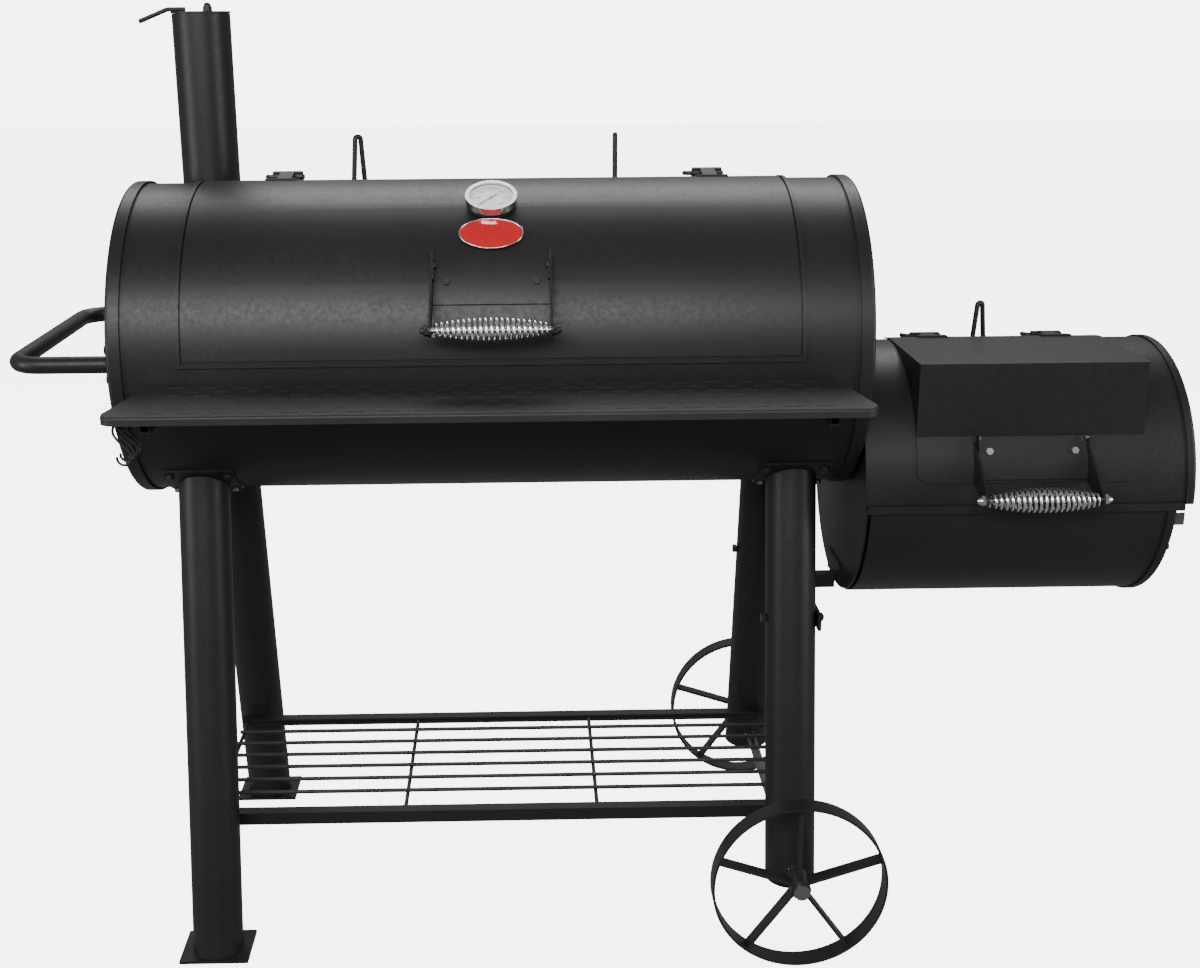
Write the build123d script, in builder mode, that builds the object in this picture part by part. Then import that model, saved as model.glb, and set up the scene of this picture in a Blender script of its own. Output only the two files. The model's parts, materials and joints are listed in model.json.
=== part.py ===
from build123d import *
from math import atan2, cos, degrees, radians, sin, sqrt
import os

# Offset smoker: a long main barrel on two splayed pairs of legs, a smaller
# firebox on its right-hand end, and a smokestack at its left-hand end.
# Positions are written from the main barrel: x from its middle, y from its axis
# (the front is -y) and z from the floor. The origin of the row is the middle of
# the object's footprint, so X0 and Y0 carry every position there.
# Angles on a barrel are counted from the front, over the top, to the back.

# Driving dimensions, mm ---------------------------------------------------

SHEET = 2.5

BARREL_R = 234.0
BARREL_Z = 917.0
BARREL_END = 541.0
CAP_PROUD = 4.0
CAP_SKIRT = 21.0
CAP_THICK = 3.0

LID_R = 237.0
LID_HALF = 434.0
LID_FRONT_ANGLE = 2.5
LID_BACK_ANGLE = 106.0
LID_LAP = 16.0
OPENING_ANGLES = (9.0, 99.0)
REST_STRIP_ANGLES = (0.2, 1.8)
REST_STRIP_WIDTH = 6.0
LID_EDGE_GAP = 2.6

STACK_X = -453.6
STACK_Y = 152.0
STACK_R = 45.0
STACK_TOP = 1399.0
FLAP_PIVOT_BACK = 54.0

HANDLE_OUT = -697.0
HANDLE_TUBE_R = 12.5
HANDLE_HALF_WIDTH = 200.0
HANDLE_BEND = 40.0

LEG_R = 38.1
LEG_WALL = 2.0
LEG_X_LEFT = -441.0
LEG_X_RIGHT = 448.0
LEG_FOOT_Y = 252.6
LEG_SLOPE = 0.1863
RIGHT_LEG_BOTTOM = 100.0
FOOT_PLATE = (105.0, 82.0, 5.0)
SADDLE_ANGLES = (-69.7, -46.3)
SADDLE_WIDTH = 105.0

WHEEL_R = 132.0
WHEEL_FACE = 324.0
WHEEL_WIDTH = 30.0
AXLE_R = 8.0
AXLE_HALF = 338.0
RUNNING_GAP = 0.05

SHELF_Z = 893.0
SHELF_FRONT = -412.0
SHELF_BACK = -238.0
SHELF_HALF_BACK = 484.0
SHELF_HALF_FRONT = 514.0
SHELF_LIP = 12.0

FIREBOX_R = 200.0
FIREBOX_Z = 696.0
FIREBOX_LEFT = 545.0
FIREBOX_RIGHT = 1034.0
FIREBOX_SPLIT = 688.0
FIREBOX_LID_R = 203.0
FIREBOX_LID_X = 788.0
FIREBOX_LID_HALF = 168.0
FIREBOX_LID_FRONT_Y = -180.0
FIREBOX_LID_ANGLES = (8.0, 104.0)

DRAWER_LEFT = 555.0
DRAWER_RIGHT = 1010.0
DRAWER_TOP = 684.0

HINGE_WIDTH = 46.0
MAIN_HINGE_X = (-321.0, 335.0)
MAIN_PIN = (250.0, 110.0)
FIREBOX_PIN_YZ = (68.0, 891.0)

GRIP_HALF = 80.5
EAR_X = 82.0
EAR_THICK = 3.0

# Centre of the footprint
X0 = -(HANDLE_OUT + FIREBOX_RIGHT) / 2
Y0 = -(SHELF_FRONT + AXLE_HALF) / 2

os.makedirs("parts", exist_ok=True)


# Shared geometry ----------------------------------------------------------

def at(x, y, z):
    """A point given from the main barrel, in the row's frame."""
    return Vector(X0 + x, Y0 + y, z)


def yz(x):
    """Plane across the barrel at x; its sketch coordinates are y and z."""
    return Plane(origin=at(x, 0, 0), x_dir=(0, 1, 0), z_dir=(1, 0, 0))


def xz(y):
    """Plane along the barrel at y, seen from the front; it extrudes forwards."""
    return Plane(origin=at(0, y, 0), x_dir=(1, 0, 0), z_dir=(0, -1, 0))


def xy(z):
    """Level plane at height z."""
    return Plane(origin=at(0, 0, z))


def polar(radius, angle, axis_z=BARREL_Z):
    """y and z of a point on a barrel, at an angle from the front over the top."""
    return (-radius * cos(radians(angle)), axis_z + radius * sin(radians(angle)))


def radial_plane(x, angle, radius, axis_z=BARREL_Z):
    """Plane that touches a barrel at this angle, facing outwards."""
    y, z = polar(radius, angle, axis_z)
    outward = (0, -cos(radians(angle)), sin(radians(angle)))
    return Plane(origin=at(x, y, z), x_dir=(1, 0, 0), z_dir=outward)


def sector(x, r_in, r_out, a_from, a_to, axis_z=BARREL_Z):
    """Part of a ring across the barrel, between two angles."""
    a_mid = (a_from + a_to) / 2
    with BuildSketch(yz(x)) as ring:
        with BuildLine():
            ThreePointArc(polar(r_out, a_from, axis_z), polar(r_out, a_mid, axis_z),
                          polar(r_out, a_to, axis_z))
            Line(polar(r_out, a_to, axis_z), polar(r_in, a_to, axis_z))
            ThreePointArc(polar(r_in, a_to, axis_z), polar(r_in, a_mid, axis_z),
                          polar(r_in, a_from, axis_z))
            Line(polar(r_in, a_from, axis_z), polar(r_out, a_from, axis_z))
        make_face()
    return ring.sketch


def disc(x, radius, axis_z=BARREL_Z):
    """Full circle across the barrel."""
    with BuildSketch(yz(x)) as face:
        with Locations((0, axis_z)):
            Circle(radius)
    return face.sketch


def bar(low, high, mode=Mode.ADD):
    """Rectangular bar between two opposite corners."""
    size = [b - a for a, b in zip(low, high)]
    middle = at(*[(a + b) / 2 for a, b in zip(low, high)])
    with Locations(middle):
        Box(*size, mode=mode)


def rod(start, end, radius, mode=Mode.ADD):
    """Round bar between two points."""
    run = at(*end) - at(*start)
    with BuildSketch(Plane(origin=at(*start), z_dir=run)) as face:
        Circle(radius)
    extrude(face.sketch, amount=run.length, mode=mode)


def bent_rod(points, bend, radius, bore=0.0):
    """Round bar or tube bent along a route."""
    with BuildLine() as route:
        FilletPolyline(*[at(*point) for point in points], radius=bend)
    with BuildSketch(Plane(origin=route.line @ 0, z_dir=route.line % 0)) as face:
        Circle(radius)
        if bore:
            Circle(bore, mode=Mode.SUBTRACT)
    sweep(face.sketch, path=route.line)


def radial_rod(x, angle, r_from, r_to, radius, axis_z=BARREL_Z, mode=Mode.ADD):
    """Round bar that stands straight out of a barrel."""
    with BuildSketch(radial_plane(x, angle, r_from, axis_z)) as face:
        Circle(radius)
    extrude(face.sketch, amount=r_to - r_from, mode=mode)


def radial_bolt(x, angle, seat, shank_to, shank_r=4.0, axis_z=BARREL_Z, head=5.0):
    """Hexagon bolt that stands on a barrel, with its shank pointing inwards and a nut."""
    with BuildSketch(radial_plane(x, angle, seat, axis_z)) as hexagon:
        RegularPolygon(1.85 * shank_r, 6)
    extrude(hexagon.sketch, amount=head)
    radial_rod(x, angle, shank_to, seat, shank_r, axis_z)
    with BuildSketch(radial_plane(x, angle, shank_to + 2, axis_z)) as nut:
        RegularPolygon(1.85 * shank_r, 6)
    extrude(nut.sketch, amount=head)


def save(part, name):
    """Write one named piece."""
    part.label = name
    export_step(part, f"parts/{name}.step")


# Main barrel --------------------------------------------------------------

OPEN_HALF = LID_HALF - LID_LAP
SADDLE_BOLT_X = 43.5
SADDLE_BOLT_ANGLES = (-66.5, -49.8)
BOLT_R = 4.0
PORT_Z = 785.0
PORT_SIZE = (180.0, 110.0)


def saddle_bolts():
    """x and angle of every bolt that holds a saddle plate."""
    spots = []
    for leg_x in (LEG_X_LEFT, LEG_X_RIGHT):
        for step in (-SADDLE_BOLT_X, SADDLE_BOLT_X):
            for angle in SADDLE_BOLT_ANGLES:
                spots.append((leg_x + step, angle))
                spots.append((leg_x + step, 180 - angle))
    return spots


def port_profile(x, grow=0.0):
    """Outline of the smoke port between the firebox and the main barrel."""
    with BuildSketch(yz(x)) as outline:
        with Locations((0, PORT_Z)):
            RectangleRounded(PORT_SIZE[0] + 2 * grow, PORT_SIZE[1] + 2 * grow, 20 + grow)
    return outline.sketch


with BuildPart() as barrel_shell:
    shell_end = BARREL_END - CAP_THICK
    extrude(disc(-shell_end, BARREL_R), amount=2 * shell_end)
    extrude(disc(-shell_end, BARREL_R - SHEET), amount=2 * shell_end, mode=Mode.SUBTRACT)
    extrude(sector(-OPEN_HALF, BARREL_R - 10, BARREL_R + 10, *OPENING_ANGLES),
            amount=2 * OPEN_HALF, mode=Mode.SUBTRACT)
    rod((STACK_X, STACK_Y, BARREL_Z), (STACK_X, STACK_Y, BARREL_Z + 300), STACK_R - 4,
        mode=Mode.SUBTRACT)
    for x, angle in saddle_bolts():
        radial_rod(x, angle, BARREL_R - 10, BARREL_R + 10, BOLT_R + 0.2, mode=Mode.SUBTRACT)
    strip_end = LID_HALF + LID_EDGE_GAP + REST_STRIP_WIDTH
    extrude(sector(-strip_end, BARREL_R - 1, LID_R + 1, *REST_STRIP_ANGLES), amount=2 * strip_end)
    for start in (-strip_end, strip_end - REST_STRIP_WIDTH):
        extrude(sector(start, BARREL_R - 1, LID_R + 1, REST_STRIP_ANGLES[0], LID_BACK_ANGLE),
                amount=REST_STRIP_WIDTH)
save(barrel_shell.part, "barrel_shell")


def end_cap(outer_x, inner_x):
    """Pressed pan that slips over the end of the barrel."""
    depth = outer_x - inner_x
    extrude(disc(inner_x, BARREL_R + CAP_PROUD), amount=depth)
    outer_edge = faces().sort_by(Axis.X)[-1 if depth > 0 else 0].edges()
    fillet(outer_edge, 6)
    hollow = depth - CAP_THICK if depth > 0 else depth + CAP_THICK
    extrude(disc(inner_x, BARREL_R + 0.2), amount=hollow, mode=Mode.SUBTRACT)


HANDLE_BOLT = 21.0

with BuildPart() as left_end_cap:
    end_cap(-BARREL_END, -BARREL_END + CAP_SKIRT)
    for side in (-1, 1):
        for step in (-HANDLE_BOLT, HANDLE_BOLT):
            y = side * HANDLE_HALF_WIDTH
            rod((-BARREL_END - 5, y, BARREL_Z + step), (-BARREL_END + 5, y, BARREL_Z + step),
                BOLT_R + 0.2, mode=Mode.SUBTRACT)
save(left_end_cap.part, "left_end_cap")

with BuildPart() as right_end_cap:
    end_cap(BARREL_END, BARREL_END - CAP_SKIRT)
    extrude(port_profile(BARREL_END - 10), amount=20, mode=Mode.SUBTRACT)
save(right_end_cap.part, "right_end_cap")

# Ledges and grates inside

LEDGE_Z = 900.0
LEDGE_THICK = 3.0
FIREBOX_LEDGE_Z = 692.0

with BuildPart() as grate_ledges:
    for side in (-1, 1):
        low, high = sorted((side * 205.0, side * 230.5))
        bar((-shell_end, low, LEDGE_Z), (shell_end, high, LEDGE_Z + LEDGE_THICK))
        low, high = sorted((side * 172.0, side * 190.0))
        bar((FIREBOX_LEFT + CAP_THICK, low, FIREBOX_LEDGE_Z),
            (FIREBOX_RIGHT - CAP_THICK, high, FIREBOX_LEDGE_Z + LEDGE_THICK))
save(grate_ledges.part, "grate_ledges")

GRATE_LENGTH = 352.0
GRATE_DEPTH = 446.0
GRATE_THICK = 10.0
GRATE_BARS = 17
GRATE_BAR = 7.0


def grate(centre, length, depth, thick, bars, bar_width, along_x):
    """Cast grate: a rim with parallel bars."""
    with BuildSketch(Plane(origin=centre)) as outline:
        Rectangle(length, depth)
        Rectangle(length - 24, depth - 24, mode=Mode.SUBTRACT)
        if along_x:
            with GridLocations(0, (depth - 12) / (bars + 1), 1, bars):
                Rectangle(length - 4, bar_width)
        else:
            with GridLocations((length - 12) / (bars + 1), 0, bars, 1):
                Rectangle(bar_width, depth - 4)
    extrude(outline.sketch, amount=thick)


with BuildPart() as cooking_grates:
    for step in (-1, 0, 1):
        grate(at(step * (GRATE_LENGTH + 4), 0, LEDGE_Z + LEDGE_THICK), GRATE_LENGTH, GRATE_DEPTH,
              GRATE_THICK, GRATE_BARS, GRATE_BAR, False)
save(cooking_grates.part, "cooking_grates")

FIREBOX_MIDDLE = (FIREBOX_LEFT + FIREBOX_RIGHT) / 2

with BuildPart() as charcoal_grate:
    grate(at(FIREBOX_MIDDLE, 0, FIREBOX_LEDGE_Z + LEDGE_THICK), 440, 376, 8, 13, 8, True)
save(charcoal_grate.part, "charcoal_grate")

# Hinges and lid stops -----------------------------------------------------

MAIN_PIN_YZ = polar(*MAIN_PIN)
FIREBOX_PIN = (sqrt(FIREBOX_PIN_YZ[0] ** 2 + (FIREBOX_PIN_YZ[1] - FIREBOX_Z) ** 2),
               degrees(atan2(FIREBOX_PIN_YZ[1] - FIREBOX_Z, -FIREBOX_PIN_YZ[0])))
FIREBOX_HINGE_X = (FIREBOX_LID_X - 98.0, FIREBOX_LID_X + 98.0)
PIN_R = 3.5
MIDDLE_KNUCKLE = 22.0
KNUCKLE_GAP = 0.5


def knuckle(x_from, x_to, pin_yz, radius):
    """Round eye of a hinge leaf, without its hole."""
    rod((x_from, *pin_yz), (x_to, *pin_yz), radius)


def web(x_from, x_to, near, far, pin_yz, radius):
    """Strip that joins a hinge eye to its leaf."""
    with BuildSketch(yz(x_from)) as face:
        for point, size in ((near, 1.3), (far, 1.3), (pin_yz, radius - 0.5)):
            with Locations(point):
                Circle(size)
        make_hull()
    extrude(face.sketch, amount=x_to - x_from)


def shell_leaf(x, pin, pin_yz, radius, axis_z, shell_r):
    """Fixed leaf: two outer eyes and a plate on the shell behind the pin."""
    turn = degrees(radius / shell_r)
    plate_from = pin[1] + 1.6 * turn
    for x_from, x_to in ((x - HINGE_WIDTH / 2, x - MIDDLE_KNUCKLE / 2 - KNUCKLE_GAP),
                         (x + MIDDLE_KNUCKLE / 2 + KNUCKLE_GAP, x + HINGE_WIDTH / 2)):
        knuckle(x_from, x_to, pin_yz, radius)
        web(x_from, x_to, polar(shell_r + 1.5, plate_from, axis_z),
            polar(shell_r + 1.5, plate_from + turn, axis_z), pin_yz, radius)
    extrude(sector(x - HINGE_WIDTH / 2, shell_r, shell_r + 3, plate_from, plate_from + 6 * turn,
                   axis_z), amount=HINGE_WIDTH)
    extrude(disc(x - HINGE_WIDTH, shell_r, axis_z), amount=2 * HINGE_WIDTH, mode=Mode.SUBTRACT)
    rod((x - HINGE_WIDTH, *pin_yz), (x + HINGE_WIDTH, *pin_yz), PIN_R + RUNNING_GAP,
        mode=Mode.SUBTRACT)


def lid_leaf(x, pin, pin_yz, radius, axis_z, lid_r, plate_back):
    """Moving leaf: one middle eye and a plate on the lid in front of the pin."""
    turn = degrees(radius / lid_r)
    half = MIDDLE_KNUCKLE / 2
    knuckle(x - half, x + half, pin_yz, radius)
    web(x - half, x + half, polar(lid_r + 1.5, plate_back, axis_z),
        polar(lid_r + 1.5, plate_back - turn, axis_z), pin_yz, radius)
    extrude(sector(x - HINGE_WIDTH / 2, lid_r, lid_r + 3, plate_back - 5 * turn, plate_back,
                   axis_z), amount=HINGE_WIDTH)
    extrude(disc(x - HINGE_WIDTH, lid_r, axis_z), amount=2 * HINGE_WIDTH, mode=Mode.SUBTRACT)
    rod((x - HINGE_WIDTH, *pin_yz), (x + HINGE_WIDTH, *pin_yz), PIN_R + RUNNING_GAP,
        mode=Mode.SUBTRACT)


MAIN_KNUCKLE_R = 9.0
FIREBOX_KNUCKLE_R = 6.1

with BuildPart() as main_shell_leaves:
    for x in MAIN_HINGE_X:
        shell_leaf(x, MAIN_PIN, MAIN_PIN_YZ, MAIN_KNUCKLE_R, BARREL_Z, BARREL_R)
with BuildPart() as firebox_shell_leaves:
    for x in FIREBOX_HINGE_X:
        shell_leaf(x, FIREBOX_PIN, FIREBOX_PIN_YZ, FIREBOX_KNUCKLE_R, FIREBOX_Z, FIREBOX_R)
with BuildPart() as shell_hinge_leaves:
    add(main_shell_leaves.part)
    add(firebox_shell_leaves.part)
save(shell_hinge_leaves.part, "shell_hinge_leaves")

with BuildPart() as main_lid_hinge_leaves:
    for x in MAIN_HINGE_X:
        lid_leaf(x, MAIN_PIN, MAIN_PIN_YZ, MAIN_KNUCKLE_R, BARREL_Z, LID_R, 102.0)
save(main_lid_hinge_leaves.part, "main_lid_hinge_leaves")

with BuildPart() as firebox_lid_hinge_leaves:
    for x in FIREBOX_HINGE_X:
        lid_leaf(x, FIREBOX_PIN, FIREBOX_PIN_YZ, FIREBOX_KNUCKLE_R, FIREBOX_Z, FIREBOX_LID_R,
                 103.0)
save(firebox_lid_hinge_leaves.part, "firebox_lid_hinge_leaves")

PIN_TAIL = 13.0

with BuildPart() as hinge_pins:
    for hinge_x, pin_yz in ((MAIN_HINGE_X, MAIN_PIN_YZ), (FIREBOX_HINGE_X, FIREBOX_PIN_YZ)):
        for x in hinge_x:
            tail_x = x - HINGE_WIDTH / 2 - 8
            bent_rod([(x + HINGE_WIDTH / 2 + 3, *pin_yz), (tail_x, *pin_yz),
                      (tail_x - 3, pin_yz[0] + PIN_TAIL, pin_yz[1] - 1)], 4.5, PIN_R)
save(hinge_pins.part, "hinge_pins")

STOP_R = 4.0
STOP_SPREAD = 13.0
STOP_TOP_SPREAD = 3.5
MAIN_STOPS = ((-212.0, 60.0), (192.0, 3.0))
MAIN_STOP_Y = 106.0
MAIN_STOP_TOP = 1211.0
FIREBOX_STOP = (783.0, 88.0, 940.0, 70.0)


def lid_stop(x, y, top, yaw, base):
    """Hairpin of round bar that catches the opened lid."""
    across = (sin(radians(yaw)), cos(radians(yaw)))
    points = []
    for step, z in ((-STOP_SPREAD, base), (-STOP_TOP_SPREAD - 1, top), (STOP_TOP_SPREAD + 1, top),
                    (STOP_SPREAD, base)):
        points.append((x + step * across[0], y + step * across[1], z))
    bent_rod(points, 4.2, STOP_R)


with BuildPart() as main_stops:
    for x, yaw in MAIN_STOPS:
        lid_stop(x, MAIN_STOP_Y, MAIN_STOP_TOP, yaw, BARREL_Z + 170)
    extrude(disc(-LID_HALF, BARREL_R), amount=2 * LID_HALF, mode=Mode.SUBTRACT)
with BuildPart() as firebox_stop:
    stop_x, stop_y, stop_top, stop_yaw = FIREBOX_STOP
    lid_stop(stop_x, stop_y, stop_top, stop_yaw, FIREBOX_Z + 160)
    extrude(disc(FIREBOX_LEFT, FIREBOX_R, FIREBOX_Z), amount=480, mode=Mode.SUBTRACT)
with BuildPart() as lid_stops:
    add(main_stops.part)
    add(firebox_stop.part)
save(lid_stops.part, "lid_stops")

# Main lid -----------------------------------------------------------------

THERMOMETER_ANGLE = 62.5
BADGE_ANGLE = 47.2
STEM_HOLE_R = 5.2
GRIP_ANGLE = 12.0
GRIP_AXIS_R = 296.5
HANDLE_BOLT_X = 63.0
HANDLE_BOLT_ANGLE = 28.5

with BuildPart() as main_lid:
    extrude(sector(-LID_HALF, LID_R - SHEET, LID_R, LID_FRONT_ANGLE, LID_BACK_ANGLE),
            amount=2 * LID_HALF)
    radial_rod(0, THERMOMETER_ANGLE, LID_R - 20, LID_R + 20, STEM_HOLE_R, mode=Mode.SUBTRACT)
    for x in (-HANDLE_BOLT_X, HANDLE_BOLT_X):
        radial_rod(x, HANDLE_BOLT_ANGLE, LID_R - 20, LID_R + 20, 3.2, mode=Mode.SUBTRACT)
save(main_lid.part, "main_lid")

BADGE_SIZE = (45.0, 26.0)

with BuildPart() as badge:
    with BuildSketch(radial_plane(0, BADGE_ANGLE, LID_R - 20)):
        Ellipse(*BADGE_SIZE)
    extrude(amount=40)
    extrude(sector(-60, LID_R, LID_R + 2.5, BADGE_ANGLE - 15, BADGE_ANGLE + 15), amount=120,
            mode=Mode.INTERSECT)
save(badge.part, "badge")

# Thermometer: radii from the barrel's axis, along the stem
CASE_R = 35.0
CASE_BACK = LID_R + 1.0
DIAL_FACE = CASE_BACK + 11.0
GLASS_BACK = DIAL_FACE + 2.5
BEZEL_FRONT = GLASS_BACK + 3.0
STEM_IN = 150.0


def gauge_disc(r_from, r_to, radius, mode=Mode.ADD):
    """Disc on the thermometer's stem axis."""
    radial_rod(0, THERMOMETER_ANGLE, r_from, r_to, radius, mode=mode)


with BuildPart() as thermometer_case:
    gauge_disc(CASE_BACK, DIAL_FACE, CASE_R)
    gauge_disc(CASE_BACK + 1.5, DIAL_FACE, CASE_R - 1.5, Mode.SUBTRACT)
    gauge_disc(LID_R + 0.2, CASE_BACK + 2, 9)
    gauge_disc(STEM_IN, CASE_BACK, 3.4)
    gauge_disc(LID_R - SHEET - 6, LID_R + 0.2, 4.8)
save(thermometer_case.part, "thermometer_case")

with BuildPart() as thermometer_dial:
    gauge_disc(DIAL_FACE - 1.2, DIAL_FACE, CASE_R - 1.7)
    gauge_disc(DIAL_FACE - 3, DIAL_FACE + 1, 0.85, Mode.SUBTRACT)
save(thermometer_dial.part, "thermometer_dial")

with BuildPart() as thermometer_glass:
    gauge_disc(GLASS_BACK, GLASS_BACK + 1.8, CASE_R - 0.2)
save(thermometer_glass.part, "thermometer_glass")

with BuildPart() as thermometer_bezel:
    gauge_disc(CASE_BACK + 6, BEZEL_FRONT, CASE_R + 2.5)
    gauge_disc(CASE_BACK, GLASS_BACK + 1.8, CASE_R, Mode.SUBTRACT)
    gauge_disc(CASE_BACK, BEZEL_FRONT + 1, CASE_R - 3, Mode.SUBTRACT)
save(thermometer_bezel.part, "thermometer_bezel")

NEEDLE_REST = 225.0

with BuildPart() as thermometer_needle:
    with BuildSketch(radial_plane(0, THERMOMETER_ANGLE, DIAL_FACE + 0.6)):
        Circle(3)
        with Locations(Location((0, 0, 0), NEEDLE_REST)):
            Triangle(a=2.6, b=24, c=24, align=(Align.CENTER, Align.CENTER), rotation=-90)
            with Locations((9, 0)):
                Rectangle(28, 1.6)
    extrude(amount=0.8)
    gauge_disc(DIAL_FACE - 1, DIAL_FACE + 1, 0.8)
save(thermometer_needle.part, "thermometer_needle")


# Lid handles --------------------------------------------------------------

def handle_ears(middle_x, surface_r, axis_z, angles, grip, foot_angles):
    """Two side plates with turned-in feet that carry the grip."""
    for side in (-1, 1):
        x_in = middle_x + side * EAR_X
        with BuildSketch(yz(x_in)) as plate:
            for angle in angles:
                with Locations(polar(surface_r - 2, angle, axis_z)):
                    Circle(1)
            with Locations(polar(*grip, axis_z)):
                Circle(10)
            make_hull()
        extrude(plate.sketch, amount=side * EAR_THICK)
        foot_x = min(x_in + side * EAR_THICK, x_in - side * 28)
        extrude(sector(foot_x, surface_r, surface_r + EAR_THICK, *foot_angles, axis_z),
                amount=28 + EAR_THICK)
        bolt_x = middle_x + side * HANDLE_BOLT_X
        middle = sum(foot_angles) / 2
        radial_rod(bolt_x, middle, surface_r - 5, surface_r + 10, 3.2, axis_z, Mode.SUBTRACT)
    extrude(disc(middle_x - 100, surface_r, axis_z), amount=200, mode=Mode.SUBTRACT)
    y, z = polar(*grip, axis_z)
    rod((middle_x - 100, y, z), (middle_x + 100, y, z), 4.1, mode=Mode.SUBTRACT)


def handle_shield(middle_x, surface_r, axis_z, angles, bolt_angle):
    """Thin plate behind the grip that keeps heat off the hand."""
    face_r = surface_r + EAR_THICK + 0.2
    half = EAR_X - 0.2
    extrude(sector(middle_x - half, face_r, face_r + 1.6, *angles, axis_z), amount=2 * half)
    for side in (-1, 1):
        start = middle_x + side * half
        extrude(sector(start, face_r, face_r + 16, bolt_angle, angles[1], axis_z),
                amount=-side * 1.6)
        radial_rod(middle_x + side * HANDLE_BOLT_X, bolt_angle, face_r - 5, face_r + 10, 3.2,
                   axis_z, Mode.SUBTRACT)


def handle_rod(middle_x, grip, axis_z):
    """Round bar through the ears and the grip, threaded at its ends."""
    y, z = polar(*grip, axis_z)
    rod((middle_x - EAR_X - 11, y, z), (middle_x + EAR_X + 11, y, z), 4)


def handle_grip(middle_x, grip, axis_z):
    """Stand-in sleeve with the outer shape of the coiled wire grip."""
    y, z = polar(*grip, axis_z)
    plane = Plane(origin=at(middle_x, y, z), x_dir=(1, 0, 0), z_dir=(0, -1, 0))
    with BuildSketch(plane) as half_section:
        with BuildLine():
            ThreePointArc((-GRIP_HALF, 9.5), (0, 18.5), (GRIP_HALF, 9.5))
            Line((GRIP_HALF, 9.5), (GRIP_HALF, 5.5))
            ThreePointArc((GRIP_HALF, 5.5), (0, 14.5), (-GRIP_HALF, 5.5))
            Line((-GRIP_HALF, 5.5), (-GRIP_HALF, 9.5))
        make_face()
    revolve(half_section.sketch, axis=Axis(at(middle_x, y, z), (1, 0, 0)))


def handle_fasteners(middle_x, surface_r, axis_z, bolt_angle, grip):
    """Bolts through the feet, small side rivets and the domed end nuts."""
    seat = surface_r + EAR_THICK + 1.8
    y, z = polar(*grip, axis_z)
    for side in (-1, 1):
        radial_bolt(middle_x + side * HANDLE_BOLT_X, bolt_angle, seat, surface_r - 12, 3.0, axis_z,
                    head=4)
        outside = middle_x + side * (EAR_X + EAR_THICK)
        with BuildSketch(Plane(origin=at(outside, y, z), z_dir=(side, 0, 0))) as nut:
            RegularPolygon(8, 6)
            Circle(4.05, mode=Mode.SUBTRACT)
        extrude(nut.sketch, amount=6)
        with BuildSketch(Plane(origin=at(outside + side * 6, y, z), z_dir=(side, 0, 0))) as dome:
            Circle(6.5)
        extrude(dome.sketch, amount=6, taper=25)
        with BuildSketch(Plane(origin=at(outside, y, z), z_dir=(side, 0, 0))) as bore:
            Circle(4.05)
        extrude(bore.sketch, amount=8.2, mode=Mode.SUBTRACT)
        inside = middle_x + side * (EAR_X - 1.8)
        ry, rz = polar(surface_r + 12, bolt_angle + 5, axis_z)
        rod((inside, ry, rz), (inside - side * 2.5, ry, rz), 3.5)


EAR_ANGLES = (21.0, 42.0)
FOOT_ANGLES = (23.0, 34.0)
SHIELD_ANGLES = (20.8, 36.2)
GRIP = (GRIP_AXIS_R, GRIP_ANGLE)

with BuildPart() as main_handle_ears:
    handle_ears(0, LID_R, BARREL_Z, EAR_ANGLES, GRIP, FOOT_ANGLES)
save(main_handle_ears.part, "main_handle_ears")

with BuildPart() as main_handle_shield:
    handle_shield(0, LID_R, BARREL_Z, SHIELD_ANGLES, HANDLE_BOLT_ANGLE)
save(main_handle_shield.part, "main_handle_shield")

with BuildPart() as main_handle_rod:
    handle_rod(0, GRIP, BARREL_Z)
save(main_handle_rod.part, "main_handle_rod")

with BuildPart() as main_handle_grip:
    handle_grip(0, GRIP, BARREL_Z)
save(main_handle_grip.part, "main_handle_grip")

with BuildPart() as main_lid_fasteners:
    handle_fasteners(0, LID_R, BARREL_Z, HANDLE_BOLT_ANGLE, GRIP)
    with BuildSketch(radial_plane(0, THERMOMETER_ANGLE, LID_R - SHEET - 5)) as stem_nut:
        RegularPolygon(10, 6)
        Circle(4.9, mode=Mode.SUBTRACT)
    extrude(stem_nut.sketch, amount=4.6)
save(main_lid_fasteners.part, "main_lid_fasteners")

# Firebox ------------------------------------------------------------------

FIREBOX_OPEN_HALF = FIREBOX_LID_HALF - LID_LAP
FIREBOX_SKIRT = 14.0
FIREBOX_CAP_R = FIREBOX_R + 3.0
RAIL_OUT = 206.0


def keep_above(z):
    """Cut away everything below z."""
    split(bisect_by=xy(z), keep=Keep.TOP)


with BuildPart() as firebox_shell:
    shell_left = FIREBOX_LEFT + CAP_THICK
    shell_length = FIREBOX_RIGHT - CAP_THICK - shell_left
    extrude(disc(shell_left, FIREBOX_R, FIREBOX_Z), amount=shell_length)
    extrude(disc(shell_left, FIREBOX_R - SHEET, FIREBOX_Z), amount=shell_length,
            mode=Mode.SUBTRACT)
    keep_above(FIREBOX_SPLIT)
    extrude(sector(FIREBOX_LID_X - FIREBOX_OPEN_HALF, FIREBOX_R - 10, FIREBOX_R + 10, 14, 97,
                   FIREBOX_Z), amount=2 * FIREBOX_OPEN_HALF, mode=Mode.SUBTRACT)
save(firebox_shell.part, "firebox_shell")

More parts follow.
